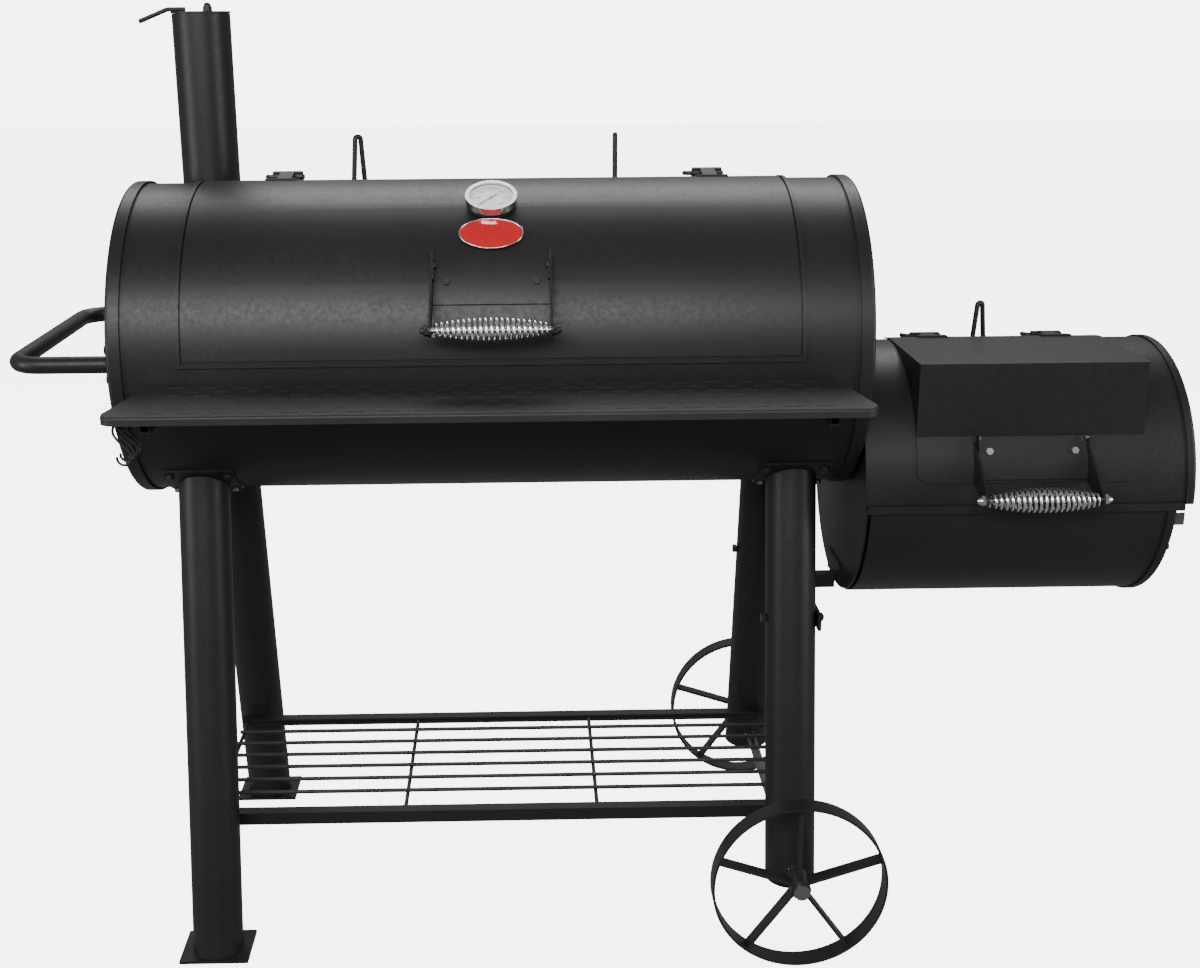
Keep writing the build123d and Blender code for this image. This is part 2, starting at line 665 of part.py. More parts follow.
with BuildPart() as firebox_left_wall:
    extrude(disc(FIREBOX_LEFT, FIREBOX_R - 0.5, FIREBOX_Z), amount=CAP_THICK)
    keep_above(FIREBOX_SPLIT - 4)
    extrude(port_profile(BARREL_END, 6), amount=FIREBOX_LEFT - BARREL_END)
    extrude(port_profile(BARREL_END - 1), amount=20, mode=Mode.SUBTRACT)
    lower_x = FIREBOX_LEFT + CAP_THICK
    with BuildSketch(yz(lower_x)):
        with Locations((0, FIREBOX_Z)):
            Circle(FIREBOX_R - 3)
        with Locations((0, FIREBOX_SPLIT)):
            Rectangle(2 * FIREBOX_R, 2 * FIREBOX_R, align=(Align.CENTER, Align.MIN),
                      mode=Mode.SUBTRACT)
    extrude(amount=CAP_THICK)
save(firebox_left_wall.part, "firebox_left_wall")

with BuildPart() as firebox_right_cap:
    extrude(disc(FIREBOX_RIGHT - FIREBOX_SKIRT, FIREBOX_CAP_R, FIREBOX_Z), amount=FIREBOX_SKIRT)
    fillet(faces().sort_by(Axis.X)[-1].edges(), 5)
    extrude(disc(FIREBOX_RIGHT - FIREBOX_SKIRT, FIREBOX_R + 0.2, FIREBOX_Z),
            amount=FIREBOX_SKIRT - CAP_THICK, mode=Mode.SUBTRACT)
    keep_above(FIREBOX_SPLIT)
save(firebox_right_cap.part, "firebox_right_cap")

RAIL_LOW = 679.0
RAIL_HIGH = 691.0
RAIL_SHEET = 1.7

with BuildPart() as drawer_rails:
    for side in (-1, 1):
        rail_end = FIREBOX_RIGHT - FIREBOX_SKIRT - 1
        outer = side * RAIL_OUT
        for z_from, z_to, reach, x_to in (
                (RAIL_LOW, RAIL_HIGH, RAIL_SHEET, rail_end),
                (RAIL_HIGH - RAIL_SHEET, RAIL_HIGH, RAIL_OUT - FIREBOX_R - 0.1, rail_end),
                (RAIL_LOW, RAIL_LOW + RAIL_SHEET, RAIL_OUT - FIREBOX_R - 1,
                 DRAWER_RIGHT - FIREBOX_SKIRT - 2)):
            low, high = sorted((outer, outer - side * reach))
            bar((FIREBOX_LEFT + CAP_THICK, low, z_from), (x_to, high, z_to))
save(drawer_rails.part, "drawer_rails")

# Ash drawer: the lower half of the firebox, which slides out to the right

AIR_HOLE_Y = (-130.0, -85.0, -40.0)
AIR_HOLE_R = 16.0
SHUTTER_Z = (610.0, 671.0)
SHUTTER_Y = (-172.0, -12.0)
SHUTTER_TRAVEL = 150.0
SHUTTER_X = DRAWER_RIGHT + 3.4
AIR_HOLE_Z = sum(SHUTTER_Z) / 2

with BuildPart() as ash_drawer:
    drawer_length = DRAWER_RIGHT - DRAWER_LEFT
    extrude(disc(DRAWER_LEFT, FIREBOX_R, FIREBOX_Z), amount=drawer_length)
    extrude(disc(DRAWER_RIGHT - FIREBOX_SKIRT, FIREBOX_CAP_R, FIREBOX_Z), amount=FIREBOX_SKIRT)
    fillet(faces().sort_by(Axis.X)[-1].edges(), 5)
    extrude(disc(DRAWER_LEFT + CAP_THICK, FIREBOX_R - SHEET, FIREBOX_Z),
            amount=drawer_length - 2 * CAP_THICK, mode=Mode.SUBTRACT)
    split(bisect_by=xy(DRAWER_TOP), keep=Keep.BOTTOM)
    for side in (-1, 1):
        low, high = sorted((side * (FIREBOX_R - 2), side * (RAIL_OUT - 2.5)))
        bar((DRAWER_LEFT, low, DRAWER_TOP - 2), (DRAWER_RIGHT - FIREBOX_SKIRT, high, DRAWER_TOP))
    for y in AIR_HOLE_Y:
        rod((DRAWER_RIGHT - 10, y, AIR_HOLE_Z), (DRAWER_RIGHT + 10, y, AIR_HOLE_Z), AIR_HOLE_R,
            mode=Mode.SUBTRACT)
    for z, lip in ((SHUTTER_Z[0], 1), (SHUTTER_Z[1], -1)):
        outside = z - lip * 4
        low, high = sorted((outside, z - lip * 0.5))
        bar((DRAWER_RIGHT - 1, SHUTTER_Y[0] + 2, low), (SHUTTER_X + 3.4, 150, high))
        low, high = sorted((outside, z + lip * 4))
        bar((SHUTTER_X + 2.4, SHUTTER_Y[0] + 2, low), (SHUTTER_X + 3.9, 150, high))
save(ash_drawer.part, "ash_drawer")

with BuildPart() as air_shutter:
    bar((SHUTTER_X, SHUTTER_Y[0], SHUTTER_Z[0]), (SHUTTER_X + 2, SHUTTER_Y[1], SHUTTER_Z[1]))
    bar((SHUTTER_X, SHUTTER_Y[0] - 2, SHUTTER_Z[0] + 36),
        (FIREBOX_RIGHT, SHUTTER_Y[0] + 0.5, SHUTTER_Z[1] - 6))
save(air_shutter.part, "air_shutter")

# Firebox lid

LID_TOP_Z = FIREBOX_Z + FIREBOX_LID_R
LID_INNER_R = FIREBOX_LID_R - SHEET


def on_circle(radius, y):
    """Height of the firebox circle above a given y."""
    return FIREBOX_Z + sqrt(radius ** 2 - y ** 2)


def lid_arc(radius, y_from, a_to):
    """Arc on the front of the firebox from a given y down or up to an angle."""
    a_from = degrees(atan2(on_circle(radius, y_from) - FIREBOX_Z, -y_from))
    ThreePointArc((y_from, on_circle(radius, y_from)),
                  polar(radius, (a_from + a_to) / 2, FIREBOX_Z), polar(radius, a_to, FIREBOX_Z))


FRONT_OUT = FIREBOX_LID_FRONT_Y
LOW_ANGLE, BACK_ANGLE = FIREBOX_LID_ANGLES
HOOD_LOW = FIREBOX_Z + 60
HOOD_BACK = -6.0
LID_CORNER = 18.0

with BuildPart() as firebox_lid:
    left_x = FIREBOX_LID_X - FIREBOX_LID_HALF
    with BuildSketch(yz(left_x)) as hood:
        with BuildLine():
            lid_arc(FIREBOX_LID_R, FRONT_OUT, LOW_ANGLE)
            Polyline((FRONT_OUT, on_circle(FIREBOX_LID_R, FRONT_OUT)), (FRONT_OUT, LID_TOP_Z),
                     (0, LID_TOP_Z))
            lid_arc(FIREBOX_LID_R, 0, BACK_ANGLE)
            Polyline(polar(FIREBOX_LID_R, BACK_ANGLE, FIREBOX_Z), (0, FIREBOX_Z),
                     polar(FIREBOX_LID_R, LOW_ANGLE, FIREBOX_Z))
        make_face()
    extrude(hood.sketch, amount=2 * FIREBOX_LID_HALF)
    bar((left_x + SHEET, FRONT_OUT + SHEET, HOOD_LOW),
        (FIREBOX_LID_X + FIREBOX_LID_HALF - SHEET, HOOD_BACK, LID_TOP_Z - SHEET), Mode.SUBTRACT)
    extrude(disc(left_x - 5, LID_INNER_R, FIREBOX_Z), amount=2 * FIREBOX_LID_HALF + 10,
            mode=Mode.SUBTRACT)
    low_z = polar(LID_INNER_R, LOW_ANGLE, FIREBOX_Z)[1]
    with BuildSketch(xz(0)) as corners:
        with Locations((FIREBOX_LID_X, low_z)):
            Rectangle(2 * FIREBOX_LID_HALF + 20, 40)
            RectangleRounded(2 * FIREBOX_LID_HALF, 400, LID_CORNER,
                             align=(Align.CENTER, Align.MIN), mode=Mode.SUBTRACT)
    extrude(corners.sketch, amount=300, mode=Mode.SUBTRACT)
    for side in (-1, 1):
        radial_rod(FIREBOX_LID_X + side * HANDLE_BOLT_X, 21.0, FIREBOX_R - 20, FIREBOX_R + 20,
                   3.2, FIREBOX_Z, Mode.SUBTRACT)
save(firebox_lid.part, "firebox_lid")

FIREBOX_EAR_ANGLES = (9.0, 27.5)
FIREBOX_FOOT_ANGLES = (15.5, 26.5)
FIREBOX_SHIELD_ANGLES = (9.5, 27.0)
FIREBOX_BOLT_ANGLE = 21.0
FIREBOX_GRIP = (262.5, 4.4)

with BuildPart() as firebox_handle_ears:
    handle_ears(FIREBOX_LID_X, FIREBOX_LID_R, FIREBOX_Z, FIREBOX_EAR_ANGLES, FIREBOX_GRIP,
                FIREBOX_FOOT_ANGLES)
save(firebox_handle_ears.part, "firebox_handle_ears")

with BuildPart() as firebox_handle_shield:
    handle_shield(FIREBOX_LID_X, FIREBOX_LID_R, FIREBOX_Z, FIREBOX_SHIELD_ANGLES,
                  FIREBOX_BOLT_ANGLE)
save(firebox_handle_shield.part, "firebox_handle_shield")

with BuildPart() as firebox_handle_rod:
    handle_rod(FIREBOX_LID_X, FIREBOX_GRIP, FIREBOX_Z)
save(firebox_handle_rod.part, "firebox_handle_rod")

with BuildPart() as firebox_handle_grip:
    handle_grip(FIREBOX_LID_X, FIREBOX_GRIP, FIREBOX_Z)
save(firebox_handle_grip.part, "firebox_handle_grip")

with BuildPart() as firebox_lid_fasteners:
    handle_fasteners(FIREBOX_LID_X, FIREBOX_LID_R, FIREBOX_Z, FIREBOX_BOLT_ANGLE, FIREBOX_GRIP)
save(firebox_lid_fasteners.part, "firebox_lid_fasteners")

# Smokestack ---------------------------------------------------------------

PIVOT_Y = STACK_Y + FLAP_PIVOT_BACK
FLAP_THICK = 3.0
FLAP_LOW = STACK_TOP + 0.4

with BuildPart() as stack_tube:
    rod((STACK_X, STACK_Y, BARREL_Z + 150), (STACK_X, STACK_Y, STACK_TOP), STACK_R)
    rod((STACK_X, STACK_Y, BARREL_Z + 140), (STACK_X, STACK_Y, STACK_TOP + 1), STACK_R - 2,
        mode=Mode.SUBTRACT)
    bar((STACK_X - 10, STACK_Y + STACK_R - 0.8, STACK_TOP - 6),
        (STACK_X + 10, PIVOT_Y + 10, STACK_TOP))
    rod((STACK_X, PIVOT_Y, STACK_TOP - 20), (STACK_X, PIVOT_Y, STACK_TOP + 5), 4.1,
        mode=Mode.SUBTRACT)
    extrude(disc(STACK_X - 60, BARREL_R, BARREL_Z), amount=120, mode=Mode.SUBTRACT)
save(stack_tube.part, "stack_tube")

with BuildPart() as stack_flap:
    with BuildSketch(xy(FLAP_LOW)):
        with Locations((STACK_X, STACK_Y)):
            Circle(STACK_R + 1)
        with Locations((STACK_X, PIVOT_Y)):
            Circle(11)
        with Locations((STACK_X, (STACK_Y + PIVOT_Y) / 2)):
            Rectangle(22, FLAP_PIVOT_BACK)
        with Locations((STACK_X, PIVOT_Y)):
            Circle(4.05, mode=Mode.SUBTRACT)
    extrude(amount=FLAP_THICK)
    wire_z = FLAP_LOW + FLAP_THICK + 3.2
    bent_rod([(STACK_X - 24, STACK_Y, wire_z), (STACK_X - 52, STACK_Y, wire_z),
              (STACK_X - 97, STACK_Y, wire_z - 18)], 12, 3.5)
save(stack_flap.part, "stack_flap")

with BuildPart() as stack_pivot_bolt:
    rod((STACK_X, PIVOT_Y, STACK_TOP - 10), (STACK_X, PIVOT_Y, FLAP_LOW + FLAP_THICK + 1), 4)
    with BuildSketch(xy(STACK_TOP - 11)):
        with Locations((STACK_X, PIVOT_Y)):
            RegularPolygon(7.5, 6)
    extrude(amount=5)
    with BuildSketch(xy(FLAP_LOW + FLAP_THICK + 0.4)):
        with Locations((STACK_X, PIVOT_Y)):
            RegularPolygon(7.5, 6)
    extrude(amount=7)
    with Locations(at(STACK_X, PIVOT_Y, FLAP_LOW + FLAP_THICK + 8)):
        Sphere(6.2)
save(stack_pivot_bolt.part, "stack_pivot_bolt")

# Side handle --------------------------------------------------------------

with BuildPart() as side_handle:
    reach = HANDLE_OUT + HANDLE_TUBE_R
    start = -BARREL_END - 2
    bent_rod([(start, -HANDLE_HALF_WIDTH, BARREL_Z), (reach, -HANDLE_HALF_WIDTH, BARREL_Z),
              (reach, HANDLE_HALF_WIDTH, BARREL_Z), (start, HANDLE_HALF_WIDTH, BARREL_Z)],
             HANDLE_BEND, HANDLE_TUBE_R, HANDLE_TUBE_R - 2)
    for side in (-1, 1):
        y = side * HANDLE_HALF_WIDTH
        bar((-BARREL_END - 4, y - 15, BARREL_Z - 31), (-BARREL_END, y + 15, BARREL_Z + 31))
        for step in (-HANDLE_BOLT, HANDLE_BOLT):
            rod((-BARREL_END - 9, y, BARREL_Z + step), (-BARREL_END + 5, y, BARREL_Z + step),
                BOLT_R + 0.2, mode=Mode.SUBTRACT)
save(side_handle.part, "side_handle")

# Legs ---------------------------------------------------------------------

CROSS_Z = 500.0
CROSS_X = LEG_X_RIGHT + LEG_R + 0.2
CROSS_THICK = 5.0
LEG_BOLT_R = 4.0


def leg_y(z):
    """Distance of a leg's axis from the barrel's axis at height z."""
    return LEG_FOOT_Y - LEG_SLOPE * z


def leg(x, side, bottom):
    """Splayed tube from its lower end to the saddle plate; side is -1 at the front."""
    base = Plane(origin=at(x, side * leg_y(-60), -60), x_dir=(1, 0, 0),
                 z_dir=(0, -side * LEG_SLOPE, 1))
    with BuildSketch(base) as tube:
        Circle(LEG_R)
        Circle(LEG_R - LEG_WALL, mode=Mode.SUBTRACT)
    extrude(tube.sketch, amount=820)
    split(bisect_by=xy(bottom), keep=Keep.TOP)
    extrude(disc(x - 60, BARREL_R + 4.2), amount=120, mode=Mode.SUBTRACT)


def foot_plate(x, side):
    """Flat plate under a left-hand leg."""
    length, depth, thick = FOOT_PLATE
    y = side * LEG_FOOT_Y
    bar((x - length / 2, y - depth / 2, 0), (x + length / 2, y + depth / 2, thick))


def leg_holes(side):
    """Holes for the axle and the cross bar's bolt in a right-hand leg."""
    y = side * leg_y(WHEEL_R)
    rod((LEG_X_RIGHT, y - 60, WHEEL_R), (LEG_X_RIGHT, y + 60, WHEEL_R), AXLE_R + 0.1,
        mode=Mode.SUBTRACT)
    y = side * leg_y(CROSS_Z)
    rod((LEG_X_RIGHT - 60, y, CROSS_Z), (LEG_X_RIGHT + 60, y, CROSS_Z), LEG_BOLT_R + 0.2,
        mode=Mode.SUBTRACT)


with BuildPart() as left_front_leg:
    leg(LEG_X_LEFT, -1, FOOT_PLATE[2] - 1)
    foot_plate(LEG_X_LEFT, -1)
save(left_front_leg.part, "left_front_leg")

with BuildPart() as left_rear_leg:
    leg(LEG_X_LEFT, 1, FOOT_PLATE[2] - 1)
    foot_plate(LEG_X_LEFT, 1)
save(left_rear_leg.part, "left_rear_leg")

with BuildPart() as right_front_leg:
    leg(LEG_X_RIGHT, -1, RIGHT_LEG_BOTTOM)
    leg_holes(-1)
save(right_front_leg.part, "right_front_leg")

with BuildPart() as right_rear_leg:
    leg(LEG_X_RIGHT, 1, RIGHT_LEG_BOTTOM)
    leg_holes(1)
save(right_rear_leg.part, "right_rear_leg")

with BuildPart() as saddle_plates:
    for leg_x in (LEG_X_LEFT, LEG_X_RIGHT):
        for a_from, a_to in (SADDLE_ANGLES, (180 - SADDLE_ANGLES[1], 180 - SADDLE_ANGLES[0])):
            extrude(sector(leg_x - SADDLE_WIDTH / 2, BARREL_R, BARREL_R + 4, a_from, a_to),
                    amount=SADDLE_WIDTH)
    for x, angle in saddle_bolts():
        radial_rod(x, angle, BARREL_R - 5, BARREL_R + 10, BOLT_R + 0.2, mode=Mode.SUBTRACT)
save(saddle_plates.part, "saddle_plates")

with BuildPart() as leg_cross_bar:
    half = leg_y(CROSS_Z) + 25
    bar((CROSS_X, -half, CROSS_Z - 13), (CROSS_X + CROSS_THICK, half, CROSS_Z + 13))
    for side in (-1, 1):
        y = side * leg_y(CROSS_Z)
        rod((CROSS_X - 5, y, CROSS_Z), (CROSS_X + 15, y, CROSS_Z), LEG_BOLT_R + 0.2,
            mode=Mode.SUBTRACT)
save(leg_cross_bar.part, "leg_cross_bar")

with BuildPart() as firebox_strut:
    bar((CROSS_X + CROSS_THICK, -11, CROSS_Z - 9), (FIREBOX_LEFT + 1, 11, CROSS_Z + 13))
    bar((FIREBOX_LEFT, -45, CROSS_Z + 8), (FIREBOX_LEFT + CAP_THICK, 45, CROSS_Z + 41))
save(firebox_strut.part, "firebox_strut")

# Every frame bolt: saddles, side handle, cross bar, and the nuts of the axle

with BuildPart() as frame_bolts:
    for x, angle in saddle_bolts():
        radial_bolt(x, angle, BARREL_R + 4, BARREL_R - 13)
    for side in (-1, 1):
        y = side * HANDLE_HALF_WIDTH
        for step in (-HANDLE_BOLT, HANDLE_BOLT):
            z = BARREL_Z + step
            rod((-BARREL_END - 4, y, z), (-BARREL_END + 7, y, z), BOLT_R)
            with BuildSketch(Plane(origin=at(-BARREL_END - 4, y, z), z_dir=(-1, 0, 0))) as head:
                RegularPolygon(7.4, 6)
            extrude(head.sketch, amount=5)
        y = side * leg_y(CROSS_Z)
        left = LEG_X_RIGHT - LEG_R - 1
        right = CROSS_X + CROSS_THICK
        rod((left - 4, y, CROSS_Z), (right + 8, y, CROSS_Z), LEG_BOLT_R)
        for x, outward in ((left, -1), (right, 1)):
            with BuildSketch(Plane(origin=at(x, y, CROSS_Z), z_dir=(outward, 0, 0))) as nut:
                RegularPolygon(7.4, 6)
            extrude(nut.sketch, amount=6)
save(frame_bolts.part, "frame_bolts")

# Axle and wheels ----------------------------------------------------------

HUB_R = 15.0
HUB_LENGTH = 42.0
SPOKES = 5
SPOKE_THICK = 5.0
SPOKE_DEPTH = 20.0
RIM_THICK = 4.0
SPOKE_TURN = 18.0

with BuildPart() as axle:
    rod((LEG_X_RIGHT, -AXLE_HALF + 7, WHEEL_R), (LEG_X_RIGHT, AXLE_HALF - 7, WHEEL_R), AXLE_R)
    for side in (-1, 1):
        hub_out = side * (WHEEL_FACE + (HUB_LENGTH - WHEEL_WIDTH) / 2 + 0.5)
        rod((LEG_X_RIGHT, hub_out, WHEEL_R), (LEG_X_RIGHT, side * AXLE_HALF, WHEEL_R), 12)
        hub_in = side * (WHEEL_FACE - WHEEL_WIDTH - (HUB_LENGTH - WHEEL_WIDTH) / 2 - 0.5)
        rod((LEG_X_RIGHT, hub_in, WHEEL_R), (LEG_X_RIGHT, hub_in - side * 6, WHEEL_R), 12)
save(axle.part, "axle")


def wheel(side):
    """Flat-band rim, flat spokes and a tube hub; side is -1 at the front."""
    middle = side * (WHEEL_FACE - WHEEL_WIDTH / 2)
    centre = (LEG_X_RIGHT, WHEEL_R)
    with BuildSketch(xz(middle + WHEEL_WIDTH / 2)) as rim:
        with Locations(centre):
            Circle(WHEEL_R)
            Circle(WHEEL_R - RIM_THICK, mode=Mode.SUBTRACT)
    extrude(rim.sketch, amount=WHEEL_WIDTH)
    with BuildSketch(xz(middle + SPOKE_DEPTH / 2)) as spokes:
        with Locations(centre):
            with PolarLocations(WHEEL_R / 2, SPOKES, start_angle=SPOKE_TURN):
                Rectangle(WHEEL_R - 4, SPOKE_THICK)
    extrude(spokes.sketch, amount=SPOKE_DEPTH)
    with BuildSketch(xz(middle + HUB_LENGTH / 2)) as hub:
        with Locations(centre):
            Circle(HUB_R)
    extrude(hub.sketch, amount=HUB_LENGTH)
    rod((LEG_X_RIGHT, middle - 60, WHEEL_R), (LEG_X_RIGHT, middle + 60, WHEEL_R),
        AXLE_R + RUNNING_GAP, mode=Mode.SUBTRACT)


with BuildPart() as front_wheel:
    wheel(-1)
save(front_wheel.part, "front_wheel")

with BuildPart() as rear_wheel:
    wheel(1)
save(rear_wheel.part, "rear_wheel")

# Lower shelf --------------------------------------------------------------

LOW_BAR_Z = (169.0, 189.0)
LOW_BAR_Y = 176.0
LOW_BAR_HALF = 466.0
LOW_ROD_Y = (21.7, 65.0, 108.5)
LOW_ROD_R = 3.2
CROSS_ROD_X = (-455.0, -152.0, 152.0, 455.0)


def low_bar(side):
    """Angle bar between two legs, with its level flange inwards."""
    low, high = sorted((side * LOW_BAR_Y, side * (LOW_BAR_Y - 3)))
    bar((-LOW_BAR_HALF, low, LOW_BAR_Z[0]), (LOW_BAR_HALF, high, LOW_BAR_Z[1]))
    low, high = sorted((side * LOW_BAR_Y, side * (LOW_BAR_Y - 20)))
    bar((-LOW_BAR_HALF, low, LOW_BAR_Z[1] - 3), (LOW_BAR_HALF, high, LOW_BAR_Z[1]))


with BuildPart() as lower_front_bar:
    low_bar(-1)
save(lower_front_bar.part, "lower_front_bar")

with BuildPart() as lower_rear_bar:
    low_bar(1)
save(lower_rear_bar.part, "lower_rear_bar")

with BuildPart() as lower_shelf_rods:
    cross_z = LOW_BAR_Z[1] - 3 - LOW_ROD_R
    for side in (-1, 1):
        for y in LOW_ROD_Y:
            z = cross_z + 2 * LOW_ROD_R
            rod((-LOW_BAR_HALF + 6, side * y, z), (LOW_BAR_HALF - 6, side * y, z), LOW_ROD_R)
    for x in CROSS_ROD_X:
        reach = LOW_BAR_Y - 4
        rod((x, -reach, cross_z), (x, reach, cross_z), LOW_ROD_R)
save(lower_shelf_rods.part, "lower_shelf_rods")

# Front shelf and hooks ----------------------------------------------------

BRACKET_X = 455.0
BRACKET_LOW = 864.0
SHELF_CORNER = 22.0
SHELF_SHEET = 2.5


def shelf_outline(shrink):
    """Plan of the front shelf, wider at the front, with round front corners."""
    with BuildSketch(xy(SHELF_Z)) as outline:
        with BuildLine():
            Polyline((-SHELF_HALF_BACK, SHELF_BACK), (-SHELF_HALF_FRONT, SHELF_FRONT),
                     (SHELF_HALF_FRONT, SHELF_FRONT), (SHELF_HALF_BACK, SHELF_BACK), close=True)
        make_face()
        fillet(outline.vertices().group_by(Axis.Y)[0], SHELF_CORNER)
        if shrink:
            offset(amount=-shrink)
    return outline.sketch


with BuildPart() as front_shelf:
    extrude(shelf_outline(0), amount=-SHELF_LIP)
    fillet(faces().sort_by(Axis.Z)[-1].edges(), 4)
    extrude(shelf_outline(SHELF_SHEET), amount=-SHELF_LIP, mode=Mode.SUBTRACT)
    extrude(shelf_outline(SHELF_SHEET / 2), amount=-SHELF_SHEET)
    lip_half = SHELF_HALF_BACK - 14
    bar((-lip_half, SHELF_BACK - 3, SHELF_Z - SHELF_LIP - 1),
        (lip_half, SHELF_BACK + 1, SHELF_Z - SHELF_SHEET), Mode.SUBTRACT)
save(front_shelf.part, "front_shelf")

with BuildPart() as shelf_brackets:
    for side in (-1, 1):
        x = side * BRACKET_X
        bar((x - 7, -386, BRACKET_LOW), (x + 7, -200, SHELF_Z - SHELF_SHEET))
        bar((x - 5, -390, BRACKET_LOW + 2), (x + 5, -180, SHELF_Z), mode=Mode.SUBTRACT)
    extrude(disc(-BARREL_END, BARREL_R), amount=2 * BARREL_END, mode=Mode.SUBTRACT)
save(shelf_brackets.part, "shelf_brackets")

HOOK_X = -489.0
RAIL_Z = 872.0
RAIL_Y = (-392.0, -322.0)
RAIL_R = 3.0
HOOK_Y = (-385.0, -367.0, -349.0, -331.0)
HOOK_WIRE_R = 1.75
HOOK_BEND = 8.0
HOOK_DROP = 39.0

with BuildPart() as hook_rail:
    roof = SHELF_Z - SHELF_SHEET
    bent_rod([(HOOK_X, RAIL_Y[0], roof), (HOOK_X, RAIL_Y[0], RAIL_Z), (HOOK_X, RAIL_Y[1], RAIL_Z),
              (HOOK_X, RAIL_Y[1], roof)], 5, RAIL_R)
save(hook_rail.part, "hook_rail")


def s_hook(y):
    """Wire bent to an S in the plane across the rail."""
    top_z = RAIL_Z + RAIL_R + 0.6 - HOOK_BEND + HOOK_WIRE_R
    low_z = top_z - HOOK_DROP
    low_x = HOOK_X + 4
    low_bend = HOOK_BEND + 1
    with BuildLine(xz(y)) as wire:
        Spline((HOOK_X + HOOK_BEND, top_z - 2), (HOOK_X + 0.7 * HOOK_BEND, top_z + 0.7 * HOOK_BEND),
               (HOOK_X, top_z + HOOK_BEND), (HOOK_X - 0.7 * HOOK_BEND, top_z + 0.7 * HOOK_BEND),
               (HOOK_X - HOOK_BEND, top_z), ((HOOK_X + low_x) / 2, (top_z + low_z) / 2),
               (low_x + low_bend, low_z), (low_x + 0.7 * low_bend, low_z - 0.7 * low_bend),
               (low_x, low_z - low_bend), (low_x - 0.7 * low_bend, low_z - 0.7 * low_bend),
               (low_x - low_bend, low_z + 2))
    with BuildSketch(Plane(origin=wire.line @ 0, z_dir=wire.line % 0)) as face:
        Circle(HOOK_WIRE_R)
    sweep(face.sketch, path=wire.line)


for number, hook_y in enumerate(HOOK_Y, start=1):
    with BuildPart() as hook:
        s_hook(hook_y)
    save(hook.part, f"s_hook_{number}")
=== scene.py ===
import bpy, json, math
from mathutils import Matrix, Vector


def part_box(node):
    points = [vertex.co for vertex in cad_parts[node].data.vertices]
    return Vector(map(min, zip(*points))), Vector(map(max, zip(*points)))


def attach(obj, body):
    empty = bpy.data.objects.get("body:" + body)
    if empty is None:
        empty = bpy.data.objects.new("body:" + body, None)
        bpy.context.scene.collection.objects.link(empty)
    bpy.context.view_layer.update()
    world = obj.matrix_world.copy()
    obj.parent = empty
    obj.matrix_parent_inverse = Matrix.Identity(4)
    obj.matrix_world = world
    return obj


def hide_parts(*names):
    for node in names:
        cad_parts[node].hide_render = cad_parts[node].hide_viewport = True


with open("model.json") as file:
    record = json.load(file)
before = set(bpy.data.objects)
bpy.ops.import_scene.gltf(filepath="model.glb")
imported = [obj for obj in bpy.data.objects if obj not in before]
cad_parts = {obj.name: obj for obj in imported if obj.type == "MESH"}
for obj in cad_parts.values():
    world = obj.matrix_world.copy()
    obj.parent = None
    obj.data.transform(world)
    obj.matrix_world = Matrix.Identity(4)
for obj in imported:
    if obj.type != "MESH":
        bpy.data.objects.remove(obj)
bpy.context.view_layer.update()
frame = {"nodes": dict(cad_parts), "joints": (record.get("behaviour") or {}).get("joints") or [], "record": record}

bl_info = {
    "name": "Offset smoker",
    "version": (1, 0, 0),
    "blender": (4, 5, 0),
    "location": "View3D > Sidebar > Smoker",
    "description": "Finishes, grips, tread plate, badge, gauge and welds of an offset smoker",
    "category": "Object",
}


# Places and measures ------------------------------------------------------

def middle(node):
    """Middle of a CAD node's box, in metres."""
    low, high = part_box(node)
    return (Vector(low) + Vector(high)) / 2


def joint(name):
    """Place and direction of one of the frame's joints."""
    found = [j for j in frame["joints"] if j["name"] == name][0]
    return Vector(found["pos_m"]), Vector(found["axis"])


DIAL_CENTRE, NEEDLE_AXIS = joint("thermometer_needle_turn")
DIAL_OUT = -NEEDLE_AXIS.normalized()
DIAL_RIGHT = Vector((1, 0, 0))
DIAL_UP = DIAL_OUT.cross(DIAL_RIGHT)
BARREL_MIDDLE = middle("barrel_shell")
LID_R = 0.237

# The wire grip is narrowest at its ends, where it meets the ears
GRIP_END_R = 0.0095
GRIP_WIRE_SIDES, GRIP_TURN_STEPS = 10, 28

# Tread bars: size of one, then the rows and the margins of the field they fill
TREAD_BAR = (0.026, 0.0075)
TREAD_CHAMFER = 0.0022
TREAD_ROWS = 7
TREAD_FRONT_MARGIN, TREAD_DEPTH_MARGIN = 0.018, 0.030
TREAD_SIDE_MARGIN, TREAD_TAPER = 0.036, 0.020

# The badge sits at this angle up the lid; its oval is this much lower than it is wide
BADGE_ANGLE, BADGE_SQUASH = 47.0, 0.59
BADGE_THICK = 0.0022
BADGE_SEAT, BADGE_RIM_SEAT = 0.0020, 0.0028

# The dial's scale: first tick's angle, ticks, degrees between them, and radii on the dial
SCALE_START, SCALE_TICKS, SCALE_STEP = 225, 31, 9
SCALE_LIFT = 0.0003
TICK_R, NUMBER_R, BAND_R = 0.0285, 0.0208, 0.0262
TICK_SIZE = (0.0006, 0.0042, 0.0002)
MAJOR_EVERY, MINOR_SIZE = 5, 0.55
BAND_ANGLES = (60, 120)

# Light: the floor's own glow, the even fill on the object, and the backdrop for the eye
FLOOR_GLOW, FILL, BACKDROP = 5.0, 0.26, 6.0

# Camera: where it stands, how it is turned, in radians, its lens in mm and its shifts
EYE = Vector((-0.1247, -2.2642, 1.3760))
YAW, PITCH, ROLL = 0.017, 0.2729, -0.0078
LENS, SENSOR = 45.08, 36.0
SHIFT_X, SHIFT_Y = 0.0423, -0.0311

